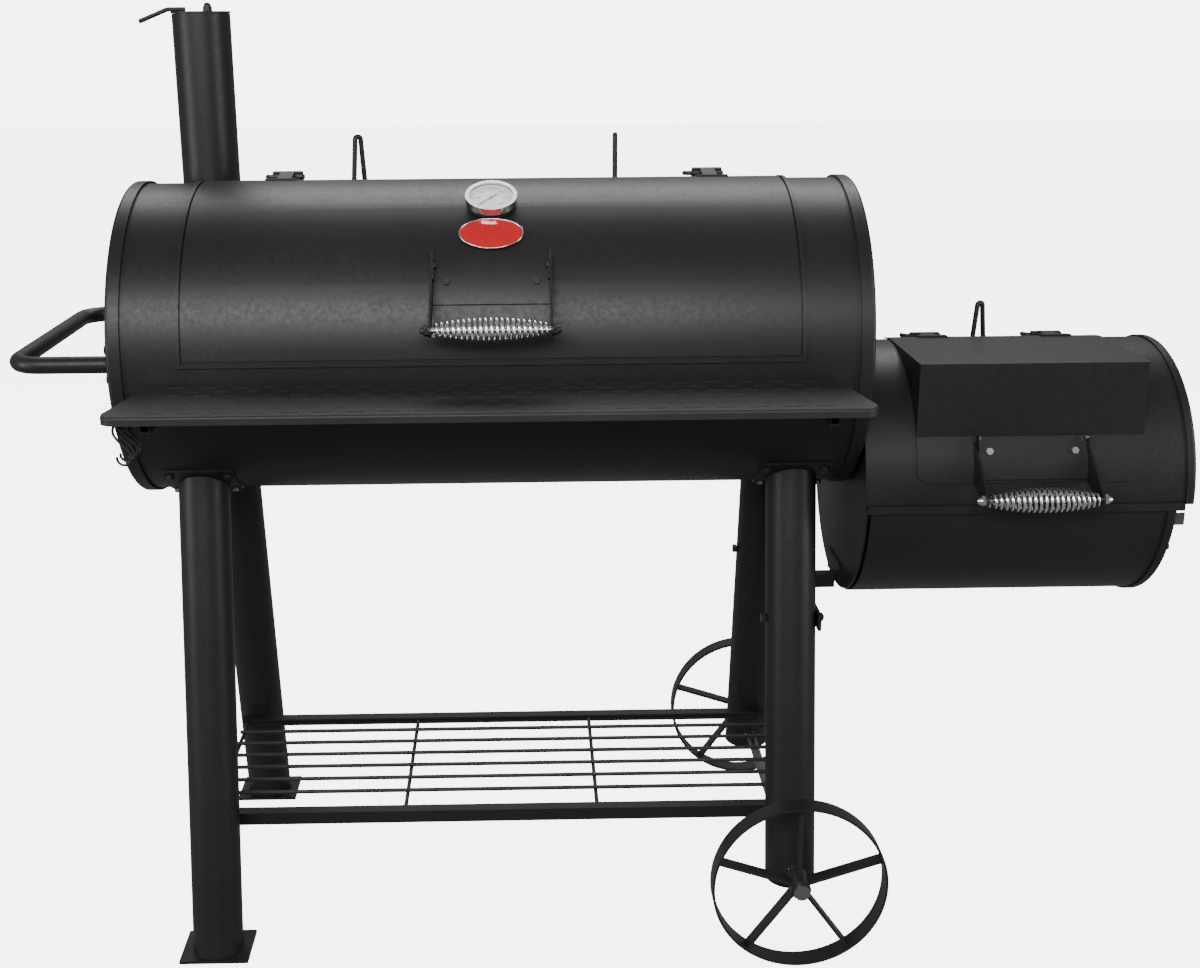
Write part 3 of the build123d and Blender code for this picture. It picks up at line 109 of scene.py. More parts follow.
# Welds: the barrel's skin under the bead, and where the side handle's tube is welded
SKIN_R = 0.2345
STACK_BEAD = 0.0022
HANDLE_HALF_WIDTH, HANDLE_FLANGE = 0.200, 0.0046
HANDLE_BEAD_R, HANDLE_BEAD = 0.0132, 0.0014


def settings():
    return bpy.context.scene.smoker_finish, bpy.context.scene.smoker_trim


# Materials ----------------------------------------------------------------

def linear(colour):
    """Linear RGBA of an sRGB hex colour."""
    parts = [int(colour[i:i + 2], 16) / 255 for i in (1, 3, 5)]
    return [p / 12.92 if p <= 0.04045 else ((p + 0.055) / 1.055) ** 2.4 for p in parts] + [1.0]


def node(tree, kind, inputs=None, **values):
    """Add a node, set its values, and set or link its inputs."""
    made = tree.nodes.new(kind)
    for name, value in values.items():
        setattr(made, name, value)
    for key, value in (inputs or {}).items():
        if isinstance(value, bpy.types.NodeSocket):
            tree.links.new(value, made.inputs[key])
        else:
            made.inputs[key].default_value = value
    return made


def new_material(name):
    """Empty material with a Principled shader; returns material, tree, shader, object coordinates."""
    made = bpy.data.materials.new(name)
    made.use_nodes = True
    tree = made.node_tree
    shader = tree.nodes["Principled BSDF"]
    place = node(tree, "ShaderNodeTexCoord").outputs["Object"]
    return made, tree, shader, place


def ramp(tree, value, low, high, colours):
    """Colour ramp between two positions of a value."""
    made = node(tree, "ShaderNodeValToRGB", {"Fac": value})
    made.color_ramp.elements[0].position = low
    made.color_ramp.elements[1].position = high
    for element, colour in zip(made.color_ramp.elements, colours):
        element.color = linear(colour)
    return made.outputs["Color"]


def spread(tree, value, low, high):
    """A noise value carried to a range of roughness."""
    return node(tree, "ShaderNodeMapRange", {"Value": value, "From Min": 0.3, "From Max": 0.7,
                                             "To Min": low, "To Max": high}).outputs["Result"]


def powder_coat(name, dark, light, roughness, grain=1 / 0.0016, depth=0.00006):
    """Powder-coated mild steel: the melted powder leaves a fine orange-peel grain, about
    1.6 mm across, which breaks up a broad satin highlight; the tint drifts a little over
    the sheet and the roughness with it."""
    made, tree, shader, place = new_material(name)
    drift = node(tree, "ShaderNodeTexNoise", {"Vector": place, "Scale": 5.0, "Detail": 3.0})
    peel = node(tree, "ShaderNodeTexNoise", {"Vector": place, "Scale": grain, "Detail": 2.0})
    speck = node(tree, "ShaderNodeTexNoise", {"Vector": place, "Scale": grain / 4, "Detail": 4.0})
    tint = ramp(tree, drift.outputs["Fac"], 0.3, 0.7, (dark, light))
    both = node(tree, "ShaderNodeMath", {0: peel.outputs["Fac"], 1: speck.outputs["Fac"]},
                operation="ADD")
    bump = node(tree, "ShaderNodeBump", {"Height": both.outputs[0], "Distance": depth,
                                         "Strength": 0.55})
    tree.links.new(tint, shader.inputs["Base Color"])
    tree.links.new(spread(tree, speck.outputs["Fac"], roughness - 0.04, roughness + 0.06),
                   shader.inputs["Roughness"])
    tree.links.new(bump.outputs["Normal"], shader.inputs["Normal"])
    shader.inputs["IOR"].default_value = 1.5
    shader.inputs["Specular IOR Level"].default_value = 0.3
    return made


def bright_metal(name, colour, roughness, scratch=0.00001, stretch=(1, 1, 1)):
    """Plated or drawn steel: a clean metal reflection, softened by fine drawing or polishing
    lines about 0.5 mm apart."""
    made, tree, shader, place = new_material(name)
    turned = node(tree, "ShaderNodeMapping", {"Vector": place, "Scale": stretch})
    lines = node(tree, "ShaderNodeTexNoise", {"Vector": turned.outputs[0], "Scale": 1 / 0.0005,
                                              "Detail": 3.0})
    bump = node(tree, "ShaderNodeBump", {"Height": lines.outputs["Fac"], "Distance": scratch,
                                         "Strength": 0.4})
    tree.links.new(spread(tree, lines.outputs["Fac"], roughness * 0.8, roughness * 1.25),
                   shader.inputs["Roughness"])
    tree.links.new(bump.outputs["Normal"], shader.inputs["Normal"])
    shader.inputs["Base Color"].default_value = linear(colour)
    shader.inputs["Metallic"].default_value = 1.0
    return made


def cast_iron(name, dark, light):
    """Seasoned cast iron: sand-cast skin with grains of 1 to 2 mm under baked oil, dark with
    slightly browner high spots and an uneven dull sheen."""
    made, tree, shader, place = new_material(name)
    sand = node(tree, "ShaderNodeTexNoise", {"Vector": place, "Scale": 1 / 0.0018, "Detail": 5.0})
    oil = node(tree, "ShaderNodeTexNoise", {"Vector": place, "Scale": 18.0, "Detail": 3.0})
    bump = node(tree, "ShaderNodeBump", {"Height": sand.outputs["Fac"], "Distance": 0.0004,
                                         "Strength": 0.7})
    tree.links.new(ramp(tree, oil.outputs["Fac"], 0.3, 0.7, (dark, light)),
                   shader.inputs["Base Color"])
    tree.links.new(spread(tree, oil.outputs["Fac"], 0.45, 0.7), shader.inputs["Roughness"])
    tree.links.new(bump.outputs["Normal"], shader.inputs["Normal"])
    shader.inputs["Metallic"].default_value = 0.6
    return made


def enamel(name, dark, light, roughness=0.12):
    """Fired enamel or printed lacquer on a pressed plate: an even colour under a hard gloss
    coat with the faintest waviness."""
    made, tree, shader, place = new_material(name)
    drift = node(tree, "ShaderNodeTexNoise", {"Vector": place, "Scale": 40.0, "Detail": 2.0})
    bump = node(tree, "ShaderNodeBump", {"Height": drift.outputs["Fac"], "Distance": 0.0002,
                                         "Strength": 0.2})
    tree.links.new(ramp(tree, drift.outputs["Fac"], 0.35, 0.65, (dark, light)),
                   shader.inputs["Base Color"])
    tree.links.new(bump.outputs["Normal"], shader.inputs["Normal"])
    shader.inputs["Roughness"].default_value = roughness
    shader.inputs["IOR"].default_value = 1.5
    shader.inputs["Coat Weight"].default_value = 0.6
    shader.inputs["Coat Roughness"].default_value = 0.05
    return made


def gauge_glass(name):
    """Flat float glass, clear, with a trace of handling haze in its roughness."""
    made, tree, shader, place = new_material(name)
    haze = node(tree, "ShaderNodeTexNoise", {"Vector": place, "Scale": 60.0, "Detail": 3.0})
    tree.links.new(spread(tree, haze.outputs["Fac"], 0.0, 0.06), shader.inputs["Roughness"])
    shader.inputs["Base Color"].default_value = linear("#f4f8f8")
    shader.inputs["IOR"].default_value = 1.5
    shader.inputs["Alpha"].default_value = 0.18
    return made


def paint(piece, material):
    """Give a piece one material on every face."""
    piece.data.materials.clear()
    piece.data.materials.append(material)
    for face in piece.data.polygons:
        face.material_index = 0


# Modelling helpers --------------------------------------------------------

def start():
    """Leave nothing selected."""
    if bpy.context.object and bpy.context.object.mode != "OBJECT":
        bpy.ops.object.mode_set(mode="OBJECT")
    bpy.ops.object.select_all(action="DESELECT")


def only(piece):
    """Select one piece and make it active."""
    start()
    piece.select_set(True)
    bpy.context.view_layer.objects.active = piece


def apply_modifier(piece, kind, **values):
    """Add a modifier, set it and apply it."""
    only(piece)
    modifier = piece.modifiers.new(kind.lower(), kind)
    for name, value in values.items():
        setattr(modifier, name, value)
    bpy.ops.object.modifier_apply(modifier=modifier.name)


def settle(piece, matrix=None):
    """Carry a piece's place into its mesh, after an optional move."""
    only(piece)
    if matrix is not None:
        piece.matrix_world = matrix
        bpy.context.view_layer.update()
    bpy.ops.object.transform_apply(location=True, rotation=True, scale=True)


def copy_to(piece, matrix):
    """Copy a finished shape, with its own mesh, to another place."""
    twin = piece.copy()
    twin.data = piece.data.copy()
    bpy.context.scene.collection.objects.link(twin)
    twin.data.transform(matrix)
    return twin


def join(pieces, name):
    """Join pieces into one object and name it."""
    start()
    for piece in pieces:
        piece.select_set(True)
    bpy.context.view_layer.objects.active = pieces[0]
    bpy.ops.object.join()
    made = bpy.context.object
    made.name = name
    made.data.name = name
    return made


def finish_piece(piece, body, slot, material, *nodes, smooth=35):
    """Smooth, paint and hand over one piece."""
    only(piece)
    bpy.ops.object.shade_smooth_by_angle(angle=math.radians(smooth))
    paint(piece, material)
    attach(piece, body)
    if nodes:
        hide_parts(*nodes)


def lid_frame(x, angle, radius):
    """Matrix whose Z points straight out of the main barrel at an angle, and X along it."""
    a = math.radians(angle)
    out = Vector((0, -math.cos(a), math.sin(a)))
    along = Vector((1, 0, 0))
    up = out.cross(along)
    place = Vector((x, BARREL_MIDDLE.y, BARREL_MIDDLE.z)) + out * radius
    return Matrix(((along.x, up.x, out.x, place.x), (along.y, up.y, out.y, place.y),
                   (along.z, up.z, out.z, place.z), (0, 0, 0, 1)))


def gauge_frame(lift):
    """Matrix on the thermometer's face, Z outwards, lift metres in front of the needle's axis."""
    place = DIAL_CENTRE + DIAL_OUT * lift
    return Matrix(((DIAL_RIGHT.x, DIAL_UP.x, DIAL_OUT.x, place.x),
                   (DIAL_RIGHT.y, DIAL_UP.y, DIAL_OUT.y, place.y),
                   (DIAL_RIGHT.z, DIAL_UP.z, DIAL_OUT.z, place.z), (0, 0, 0, 1)))


# Settings -----------------------------------------------------------------

def colour_text(name, words, default):
    return bpy.props.StringProperty(name=name, description=words, default=default)


class SmokerFinish(bpy.types.PropertyGroup):
    coat_dark: colour_text("Coat, dark", "sRGB hex of the powder coat's darker tint", "#161617")
    coat_light: colour_text("Coat, light", "sRGB hex of the powder coat's lighter tint", "#1b1b1c")
    coat_roughness: bpy.props.FloatProperty(
        name="Coat roughness", description="Middle roughness of the powder coat", default=0.42,
        min=0.1, max=0.9, subtype="FACTOR")
    # The shelf's lighter tint is a painted highlight: it stands for the light that falls on the shelf's upward
    # faces.
    shelf_light: colour_text("Shelf", "sRGB hex of the tread plate's lighter tint", "#232324")
    badge_red: colour_text("Badge", "sRGB hex of the badge's enamel", "#b3161b")
    chrome: colour_text("Chrome", "sRGB hex of the plated wire and bezel", "#e2e3e6")
    floor: colour_text("Floor", "sRGB hex of the studio floor", "#f4f4f3")


class SmokerTrim(bpy.types.PropertyGroup):
    main_turns: bpy.props.IntProperty(
        name="Main grip turns", description="Turns of wire in the main lid's grip", default=21,
        min=8, max=40)
    firebox_turns: bpy.props.IntProperty(
        name="Firebox grip turns", description="Turns of wire in the firebox lid's grip",
        default=20, min=8, max=40)
    wire: bpy.props.FloatProperty(
        name="Grip wire", description="Thickness of the grip wire", default=0.0040, min=0.002,
        max=0.006, unit="LENGTH")
    tread_step: bpy.props.FloatProperty(
        name="Tread spacing", description="Distance between tread bars along the shelf",
        default=0.044, min=0.02, max=0.1, unit="LENGTH")
    tread_rise: bpy.props.FloatProperty(
        name="Tread height", description="How far the tread bars stand up", default=0.0011,
        min=0.0003, max=0.003, unit="LENGTH")
    rim: bpy.props.FloatProperty(
        name="Badge rim", description="Width of the badge's plated rim", default=0.0022,
        min=0.0005, max=0.005, unit="LENGTH")


# Pieces -------------------------------------------------------------------

class SMOKER_OT_finishes(bpy.types.Operator):
    """Give every CAD node its material"""
    bl_idname = "smoker.finishes"
    bl_label = "Finishes"

    def execute(self, context):
        finish, trim = settings()
        coat = powder_coat("powder_coated_mild_steel", finish.coat_dark, finish.coat_light,
                           finish.coat_roughness)
        # Lighter copy of the coat for the shelf, its tread bars and the lower shelf's rods: a painted highlight
        # for the light their upward faces catch.
        plate = powder_coat("tread_plate_coat_painted_highlight", finish.coat_light, finish.shelf_light,
                            finish.coat_roughness + 0.08)
        wheel = powder_coat("powder_coated_steel_band", finish.coat_dark, finish.shelf_light,
                            finish.coat_roughness - 0.04)
        looks = {
            "black_powder_coat": coat,
            "black_wire": powder_coat("black_dipped_wire", "#141415", "#1e1e20", 0.35, 1 / 0.001),
            "grey_steel": powder_coat("grey_painted_sheet", "#3a3b3d", "#444548", 0.45),
            "black_bolt": powder_coat("black_oxide_bolt", "#1c1c1e", "#2a2a2c", 0.36, 1 / 0.0008),
            "bright_zinc": bright_metal("zinc_plated_steel", "#c9ccd1", 0.24),
            "axle_steel": bright_metal("drawn_steel_bar", "#8f9094", 0.34, 0.00002, (0.1, 1, 1)),
            "cast_iron": cast_iron("seasoned_cast_iron", "#1d1c1b", "#2a2725"),
            "chrome": bright_metal("polished_chrome_plate", finish.chrome, 0.2, 0.000004),
            "dial_enamel": enamel("printed_white_dial", "#e9e9e4", "#f2f2ee", 0.35),
            "needle_paint": enamel("black_needle_lacquer", "#0c0c0d", "#151516", 0.3),
            "gauge_glass": gauge_glass("flat_gauge_glass"),
            "red_enamel": enamel("red_vitreous_enamel", finish.badge_red, "#ad1219"),
        }
        for part in frame["record"]["subparts"]:
            paint(frame["nodes"][part["node"]], looks[part["material_slot"]])
        for name in ("front_shelf", "lower_shelf_rods"):
            paint(frame["nodes"][name], plate)
        # The gauge's case is painted with the bolts' dark finish: painted shade for its side, which sits sunk in
        # shadow, in place of a bright side that would reflect the badge's red.
        paint(frame["nodes"]["thermometer_case"], looks["black_bolt"])
        for name in ("front_wheel", "rear_wheel"):
            paint(frame["nodes"][name], wheel)
        return {"FINISHED"}


def coil(node_name, turns, wire, name):
    """Barrel-shaped coil of wire along X in a grip sleeve's box, open at both ends."""
    low, high = (Vector(v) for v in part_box(node_name))
    centre = (low + high) / 2
    length = high.x - low.x - wire
    big = (high.z - low.z) / 2 - wire / 2
    small = GRIP_END_R - wire / 2
    start()
    bpy.ops.mesh.primitive_circle_add(vertices=GRIP_WIRE_SIDES, radius=wire / 2,
                                      location=(0, 0, 0), rotation=(math.pi / 2, 0, 0))
    spring = bpy.context.object
    bpy.ops.object.transform_apply(location=False, rotation=True, scale=False)
    bpy.ops.object.mode_set(mode="EDIT")
    bpy.ops.mesh.select_all(action="SELECT")
    bpy.ops.transform.translate(value=(small, 0, 0))
    bpy.ops.object.mode_set(mode="OBJECT")
    apply_modifier(spring, "SCREW", axis="Z", angle=2 * math.pi, screw_offset=length / turns,
                   iterations=turns, steps=GRIP_TURN_STEPS, render_steps=GRIP_TURN_STEPS,
                   use_merge_vertices=True)
    # The coil swells towards its middle: each point moves straight out from the axis
    for vertex in spring.data.vertices:
        flat = Vector((vertex.co.x, vertex.co.y, 0))
        at = min(max(vertex.co.z / length, 0.0), 1.0)
        grow = (big - small) * math.sin(math.pi * at) ** 0.8
        vertex.co += flat.normalized() * grow
    only(spring)
    bpy.ops.object.mode_set(mode="EDIT")
    bpy.ops.mesh.select_all(action="SELECT")
    bpy.ops.mesh.region_to_loop()
    bpy.ops.mesh.edge_face_add()
    bpy.ops.mesh.select_all(action="SELECT")
    bpy.ops.mesh.normals_make_consistent(inside=False)
    bpy.ops.object.mode_set(mode="OBJECT")
    turn = Matrix.Rotation(math.pi / 2, 4, "Y")
    settle(spring, Matrix.Translation(centre - Vector((length / 2, 0, 0))) @ turn)
    spring.name = name
    return spring


class SMOKER_OT_grips(bpy.types.Operator):
    """Coil the wire grips of both lids"""
    bl_idname = "smoker.grips"
    bl_label = "Coiled grips"

    def execute(self, context):
        trim = settings()[1]
        chrome = bpy.data.materials["polished_chrome_plate"]
        for sleeve, body, turns, name in (
                ("main_handle_grip", "main_lid_body", trim.main_turns, "main_grip_coil"),
                ("firebox_handle_grip", "firebox_lid_body", trim.firebox_turns,
                 "firebox_grip_coil")):
            spring = coil(sleeve, turns, trim.wire, name)
            finish_piece(spring, body, "chrome", chrome, sleeve, smooth=60)
        return {"FINISHED"}


class SMOKER_OT_tread(bpy.types.Operator):
    """Raise the staggered tread bars on the front shelf"""
    bl_idname = "smoker.tread"
    bl_label = "Tread bars"

    def execute(self, context):
        trim = settings()[1]
        low, high = (Vector(v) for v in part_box("front_shelf"))
        start()
        bpy.ops.mesh.primitive_cube_add(size=1, location=(0, 0, 0))
        bar = bpy.context.object
        bar.scale = (*TREAD_BAR, 2 * trim.tread_rise)
        bpy.ops.object.transform_apply(location=False, rotation=False, scale=True)
        bpy.ops.object.mode_set(mode="EDIT")
        bpy.ops.mesh.select_all(action="DESELECT")
        bpy.ops.object.mode_set(mode="OBJECT")
        for face in bar.data.polygons:
            face.select = face.normal.z > 0.9
        bpy.ops.object.mode_set(mode="EDIT")
        bpy.ops.mesh.inset(thickness=TREAD_CHAMFER)
        bpy.ops.mesh.select_all(action="DESELECT")
        bpy.ops.object.mode_set(mode="OBJECT")
        # The top's outer edge drops into the plate, so that the bar has sloping sides
        for vertex in bar.data.vertices:
            outer = abs(vertex.co.x) > 0.0125 or abs(vertex.co.y) > 0.0036
            if outer and vertex.co.z > 0:
                vertex.co.z = -trim.tread_rise * 0.4
        step = trim.tread_step
        depth = high.y - low.y - TREAD_DEPTH_MARGIN
        bars = []
        for row in range(TREAD_ROWS):
            y = low.y + TREAD_FRONT_MARGIN + depth * row / (TREAD_ROWS - 1)
            reach = ((high.x - low.x) / 2 - TREAD_SIDE_MARGIN
                     - TREAD_TAPER * row / (TREAD_ROWS - 1))
            shift = step / 2 if row % 2 else 0.0
            count = int(reach / step) + 1
            for column in range(-count, count + 1):
                x = column * step + shift
                if abs(x) > reach - 0.012:
                    continue
                place = Matrix.Translation(Vector((BARREL_MIDDLE.x + x, y, high.z)))
                bars.append(copy_to(bar, place))
        bpy.data.objects.remove(bar)
        tread = join(bars, "shelf_tread_bars")
        finish_piece(tread, "frame", "black_powder_coat",
                     bpy.data.materials["tread_plate_coat_painted_highlight"], smooth=20)
        return {"FINISHED"}


def bow_onto_lid(piece, radius, name):
    """Squash a round piece to an oval, bow it over the barrel and set it on the lid."""
    for vertex in piece.data.vertices:
        bow = vertex.co.y * BADGE_SQUASH / radius
        lift = radius + vertex.co.z
        vertex.co.y = lift * math.sin(bow)
        vertex.co.z = lift * math.cos(bow) - radius
    settle(piece, lid_frame(BARREL_MIDDLE.x, BADGE_ANGLE, radius))
    piece.name = name


class SMOKER_OT_badge(bpy.types.Operator):
    """Make the plain domed enamel oval and its plated rim"""
    bl_idname = "smoker.badge"
    bl_label = "Badge"

    def execute(self, context):
        trim = settings()[1]
        low, high = (Vector(v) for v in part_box("badge"))
        half = (high.x - low.x) / 2
        start()
        bpy.ops.mesh.primitive_circle_add(vertices=96, radius=half, fill_type="NGON",
                                          location=(0, 0, -0.0016))
        plate = bpy.context.object
        bpy.ops.object.transform_apply(location=True, rotation=False, scale=False)
        bpy.ops.object.mode_set(mode="EDIT")
        bpy.ops.mesh.select_all(action="SELECT")
        bpy.ops.mesh.extrude_region_move(TRANSFORM_OT_translate={"value": (0, 0, BADGE_THICK)})
        # Rings of the enamel's shallow dome, steepest at the rim
        for rise in (0.0006, 0.0004, 0.0003, 0.0002, 0.0001):
            bpy.ops.mesh.inset(thickness=half / 6)
            bpy.ops.transform.translate(value=(0, 0, rise))
        bpy.ops.mesh.select_all(action="SELECT")
        bpy.ops.mesh.normals_make_consistent(inside=False)
        bpy.ops.object.mode_set(mode="OBJECT")
        bow_onto_lid(plate, LID_R + BADGE_SEAT, "badge_plate")
        finish_piece(plate, "main_lid_body", "red_enamel",
                     bpy.data.materials["red_vitreous_enamel"], "badge")
        start()
        bpy.ops.mesh.primitive_torus_add(major_radius=half + 0.0002, minor_radius=trim.rim / 2,
                                         major_segments=96, minor_segments=10,
                                         location=(0, 0, 0))
        rim = bpy.context.object
        bow_onto_lid(rim, LID_R + BADGE_RIM_SEAT, "badge_rim")
        finish_piece(rim, "main_lid_body", "chrome", bpy.data.materials["polished_chrome_plate"],
                     smooth=60)
        return {"FINISHED"}


class SMOKER_OT_gauge(bpy.types.Operator):
    """Print the thermometer's scale: ticks, numbers and a coloured smoking band"""
    bl_idname = "smoker.gauge"
    bl_label = "Gauge scale"

    def execute(self, context):
        ink = bpy.data.materials["black_needle_lacquer"]
        start()
        bpy.ops.mesh.primitive_cube_add(size=1, location=(0, 0, 0))
        tick = bpy.context.object
        tick.scale = TICK_SIZE
        bpy.ops.object.transform_apply(location=False, rotation=False, scale=True)
        apply_modifier(tick, "BEVEL", width=0.00008, segments=1, limit_method="NONE")
        ticks = []
        for count in range(SCALE_TICKS):
            turn = math.radians(SCALE_START - SCALE_STEP * count - 90)
            size = 1.0 if count % MAJOR_EVERY == 0 else MINOR_SIZE
            place = (gauge_frame(SCALE_LIFT) @ Matrix.Rotation(turn, 4, "Z")
                     @ Matrix.Translation((0, TICK_R, 0)) @ Matrix.Diagonal((1, size, 1, 1)))
            ticks.append(copy_to(tick, place))
        bpy.data.objects.remove(tick)
        scale = join(ticks, "gauge_ticks")
        finish_piece(scale, "main_lid_body", "needle_paint", ink)
        numbers = []
        for index in range(SCALE_TICKS // MAJOR_EVERY + 1):
            start()
            bpy.ops.object.text_add(location=(0, 0, 0))
            text = bpy.context.object
            text.data.body = str(100 * index if index else 50)
            text.data.size = 0.0062
            text.data.extrude = 0.0001
            text.data.align_x = "CENTER"
            text.data.align_y = "CENTER"
            bpy.ops.object.convert(target="MESH")
            text = bpy.context.object
            turn = math.radians(SCALE_START - SCALE_STEP * MAJOR_EVERY * index)
            spot = (NUMBER_R * math.cos(turn), NUMBER_R * math.sin(turn), 0)
            settle(text, gauge_frame(SCALE_LIFT) @ Matrix.Translation(spot))
            numbers.append(text)
        figures = join(numbers, "gauge_numbers")
        finish_piece(figures, "main_lid_body", "needle_paint", ink)
        start()
        bpy.ops.mesh.primitive_circle_add(vertices=64, radius=BAND_R, location=(0, 0, 0))
        band = bpy.context.object
        bpy.ops.object.mode_set(mode="EDIT")
        bpy.ops.mesh.select_all(action="SELECT")
        bpy.ops.mesh.extrude_edges_move()
        bpy.ops.transform.resize(value=(0.955, 0.955, 1), center_override=(0, 0, 0))
        bpy.ops.mesh.select_all(action="DESELECT")
        bpy.ops.object.mode_set(mode="OBJECT")
        for face in band.data.polygons:
            turn = math.degrees(math.atan2(face.center.y, face.center.x)) % 360
            face.select = not BAND_ANGLES[0] < turn < BAND_ANGLES[1]
        bpy.ops.object.mode_set(mode="EDIT")
        bpy.ops.mesh.delete(type="FACE")
        bpy.ops.object.mode_set(mode="OBJECT")
        apply_modifier(band, "SOLIDIFY", thickness=0.0001, offset=0)
        settle(band, gauge_frame(SCALE_LIFT))
        band.name = "gauge_smoking_band"
        finish_piece(band, "main_lid_body", "red_enamel", bpy.data.materials["red_vitreous_enamel"])
        return {"FINISHED"}


def weld_ring(radius, bead_radius, matrix, steps):
    """Bead of weld round a tube: a ring with a small ripple."""
    start()
    bpy.ops.mesh.primitive_torus_add(major_radius=radius, minor_radius=bead_radius,
                                     major_segments=steps, minor_segments=8,
                                     location=(0, 0, 0))
    bead = bpy.context.object
    for vertex in bead.data.vertices:
        turn = math.atan2(vertex.co.y, vertex.co.x)
        ripple = 1 + 0.012 * math.sin(turn * steps / 3)
        vertex.co.x *= ripple
        vertex.co.y *= ripple
    settle(bead, matrix)
    return bead


class SMOKER_OT_welds(bpy.types.Operator):
    """Lay the weld beads where the smokestack and the side handle meet the barrel"""
    bl_idname = "smoker.welds"
    bl_label = "Weld beads"

    def execute(self, context):
        coat = bpy.data.materials["powder_coated_mild_steel"]
        low, high = (Vector(v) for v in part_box("stack_tube"))
        radius = (high.x - low.x) / 2
        x, y = (low.x + high.x) / 2, low.y + radius
        start()
        bpy.ops.mesh.primitive_torus_add(major_radius=radius, minor_radius=STACK_BEAD,
                                         major_segments=96, minor_segments=8,
                                         location=(x, y, 0))
        bead = bpy.context.object
        bpy.ops.object.transform_apply(location=True, rotation=False, scale=False)
        # Each point rises to the barrel's skin, which falls away towards the back
        for vertex in bead.data.vertices:
            turn = math.atan2(vertex.co.y - y, vertex.co.x - x)
            across = y + radius * math.sin(turn) - BARREL_MIDDLE.y
            vertex.co.z += BARREL_MIDDLE.z + math.sqrt(SKIN_R ** 2 - across ** 2) + 0.0006
            vertex.co.z += 0.0003 * math.sin(turn * 40)
        bead.name = "stack_weld_bead"
        finish_piece(bead, "frame", "black_powder_coat", coat, smooth=60)
        beads = []
        low, high = (Vector(v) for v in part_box("side_handle"))
        for side in (-1, 1):
            place = Matrix.Translation((high.x - HANDLE_FLANGE,
                                        BARREL_MIDDLE.y + side * HANDLE_HALF_WIDTH,
                                        BARREL_MIDDLE.z)) @ Matrix.Rotation(math.pi / 2, 4, "Y")
            beads.append(weld_ring(HANDLE_BEAD_R, HANDLE_BEAD, place, 36))
        ring = join(beads, "side_handle_weld_beads")
        finish_piece(ring, "frame", "black_powder_coat", coat, smooth=60)
        return {"FINISHED"}


# Stage --------------------------------------------------------------------

def area_light(name, place, target, size, power, colour=(1, 1, 1)):
    """Soft box aimed at a point."""
    data = bpy.data.lights.new(name, "AREA")
    data.shape = "RECTANGLE"
    data.size, data.size_y = size
    data.energy = power
    data.color = colour
    lamp = bpy.data.objects.new(name, data)
    lamp.location = place
    lamp.rotation_mode = "QUATERNION"
    lamp.rotation_quaternion = (Vector(target) - Vector(place)).to_track_quat("-Z", "Y")
    bpy.context.scene.collection.objects.link(lamp)


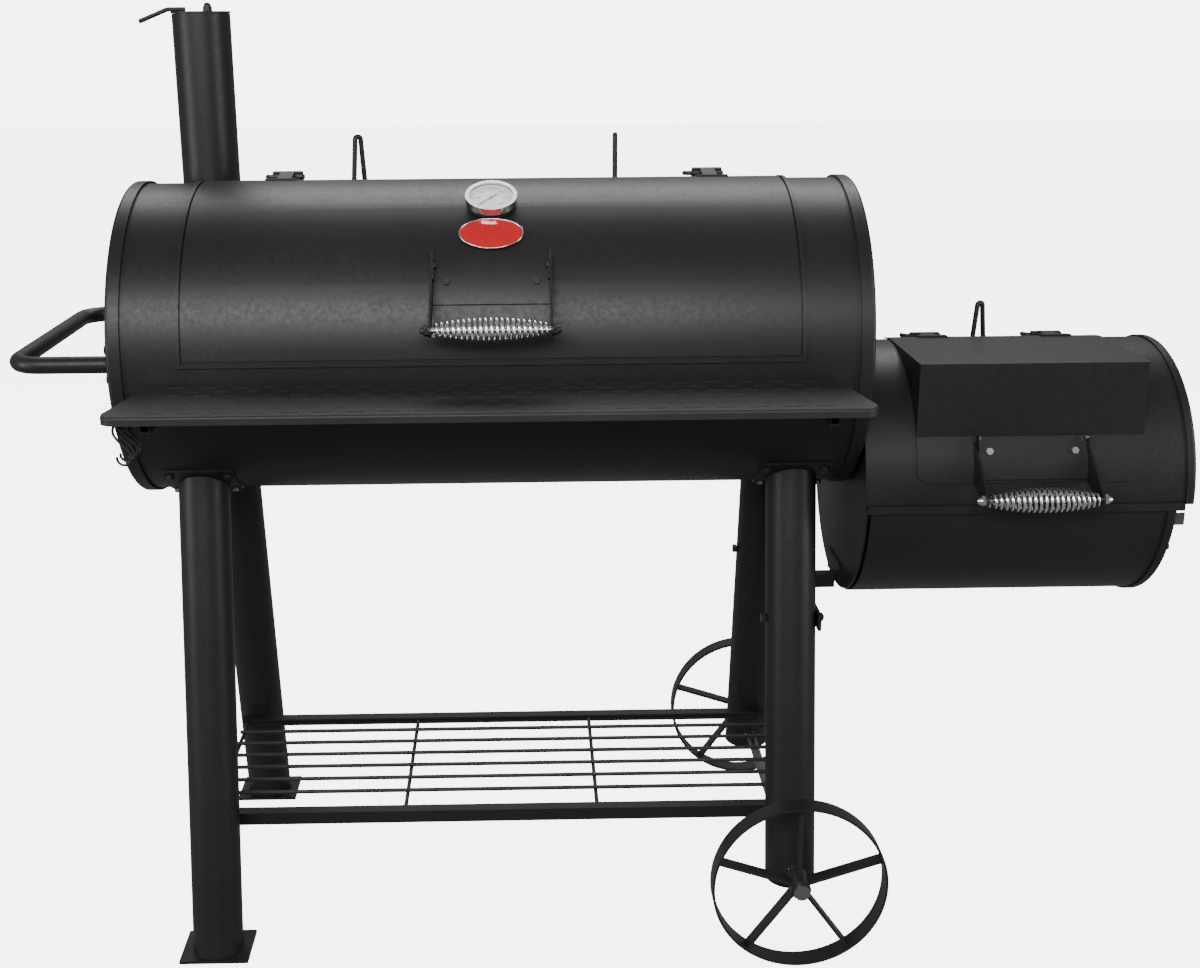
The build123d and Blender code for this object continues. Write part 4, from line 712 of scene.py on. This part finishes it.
class SMOKER_OT_stage(bpy.types.Operator):
    """Set the pale floor, the soft lights and the camera"""
    bl_idname = "smoker.stage"
    bl_label = "Stage"

    def execute(self, context):
        finish = settings()[0]
        start()
        bpy.ops.mesh.primitive_plane_add(size=40, location=(0, 0, -0.0005))
        floor = bpy.context.object
        floor.name = "studio_floor"
        made, tree, shader, place = new_material("matte_white_floor")
        drift = node(tree, "ShaderNodeTexNoise", {"Vector": place, "Scale": 1.5})
        tree.links.new(ramp(tree, drift.outputs["Fac"], 0.3, 0.7, (finish.floor, "#f7f7f6")),
                       shader.inputs["Base Color"])
        shader.inputs["Roughness"].default_value = 0.9
        shader.inputs["Emission Color"].default_value = linear("#ffffff")
        shader.inputs["Emission Strength"].default_value = FLOOR_GLOW
        paint(floor, made)
        # The floor glows for the eye alone, so the underside of the barrel stays in shade
        floor.visible_diffuse = False
        floor.visible_glossy = False
        world = bpy.data.worlds.new("studio") if not context.scene.world else context.scene.world
        context.scene.world = world
        world.use_nodes = True
        sky = world.node_tree.nodes["Background"]
        sky.inputs["Color"].default_value = linear("#ffffff")
        ray = node(world.node_tree, "ShaderNodeLightPath")
        # A bright backdrop for the eye, and a dim even fill for the object
        glow = node(world.node_tree, "ShaderNodeMapRange", {
            "Value": ray.outputs["Is Camera Ray"], "To Min": FILL, "To Max": BACKDROP})
        world.node_tree.links.new(glow.outputs["Result"], sky.inputs["Strength"])
        area_light("front_softbox", (-0.7, -3.2, 2.5), (0, 0, 0.9), (3.0, 0.8), 150)
        area_light("top_softbox", (0.0, 2.2, 3.6), (0, 0, 0.9), (4.0, 1.4), 110)
        area_light("right_softbox", (3.4, -1.6, 1.5), (0.4, 0, 0.8), (1.2, 2.2), 70)
        area_light("left_softbox", (-3.6, -1.6, 1.4), (-0.4, 0, 0.8), (1.2, 2.2), 65)

        forward = Vector((math.sin(YAW) * math.cos(PITCH), math.cos(YAW) * math.cos(PITCH),
                          -math.sin(PITCH)))
        level = forward.cross(Vector((0, 0, 1))).normalized()
        over = level.cross(forward)
        right = level * math.cos(ROLL) + over * math.sin(ROLL)
        up = over * math.cos(ROLL) - level * math.sin(ROLL)
        data = bpy.data.cameras.new("camera")
        data.sensor_width = SENSOR
        data.lens = LENS
        data.shift_x = SHIFT_X
        data.shift_y = SHIFT_Y
        camera = bpy.data.objects.new("camera", data)
        context.scene.collection.objects.link(camera)
        back = -forward
        camera.matrix_world = Matrix(((right.x, up.x, back.x, EYE.x),
                                      (right.y, up.y, back.y, EYE.y),
                                      (right.z, up.z, back.z, EYE.z), (0, 0, 0, 1)))
        context.scene.camera = camera
        return {"FINISHED"}


# Panel and registration ---------------------------------------------------

OPERATORS = (SMOKER_OT_stage, SMOKER_OT_finishes, SMOKER_OT_grips, SMOKER_OT_tread,
             SMOKER_OT_badge, SMOKER_OT_gauge, SMOKER_OT_welds)


class SMOKER_PT_panel(bpy.types.Panel):
    bl_label = "Offset smoker"
    bl_idname = "SMOKER_PT_panel"
    bl_space_type = "VIEW_3D"
    bl_region_type = "UI"
    bl_category = "Smoker"

    def draw(self, context):
        for group in settings():
            for name in group.__annotations__:
                self.layout.prop(group, name)
        for operator in OPERATORS:
            self.layout.operator(operator.bl_idname)


CLASSES = (SmokerFinish, SmokerTrim, *OPERATORS, SMOKER_PT_panel)


def register():
    for item in CLASSES:
        bpy.utils.register_class(item)
    bpy.types.Scene.smoker_finish = bpy.props.PointerProperty(type=SmokerFinish)
    bpy.types.Scene.smoker_trim = bpy.props.PointerProperty(type=SmokerTrim)


def unregister():
    del bpy.types.Scene.smoker_trim
    del bpy.types.Scene.smoker_finish
    for item in reversed(CLASSES):
        bpy.utils.unregister_class(item)


def main():
    register()
    for operator in OPERATORS:
        family, name = operator.bl_idname.split(".")
        getattr(getattr(bpy.ops, family), name)()


if __name__ == "__main__":
    main()
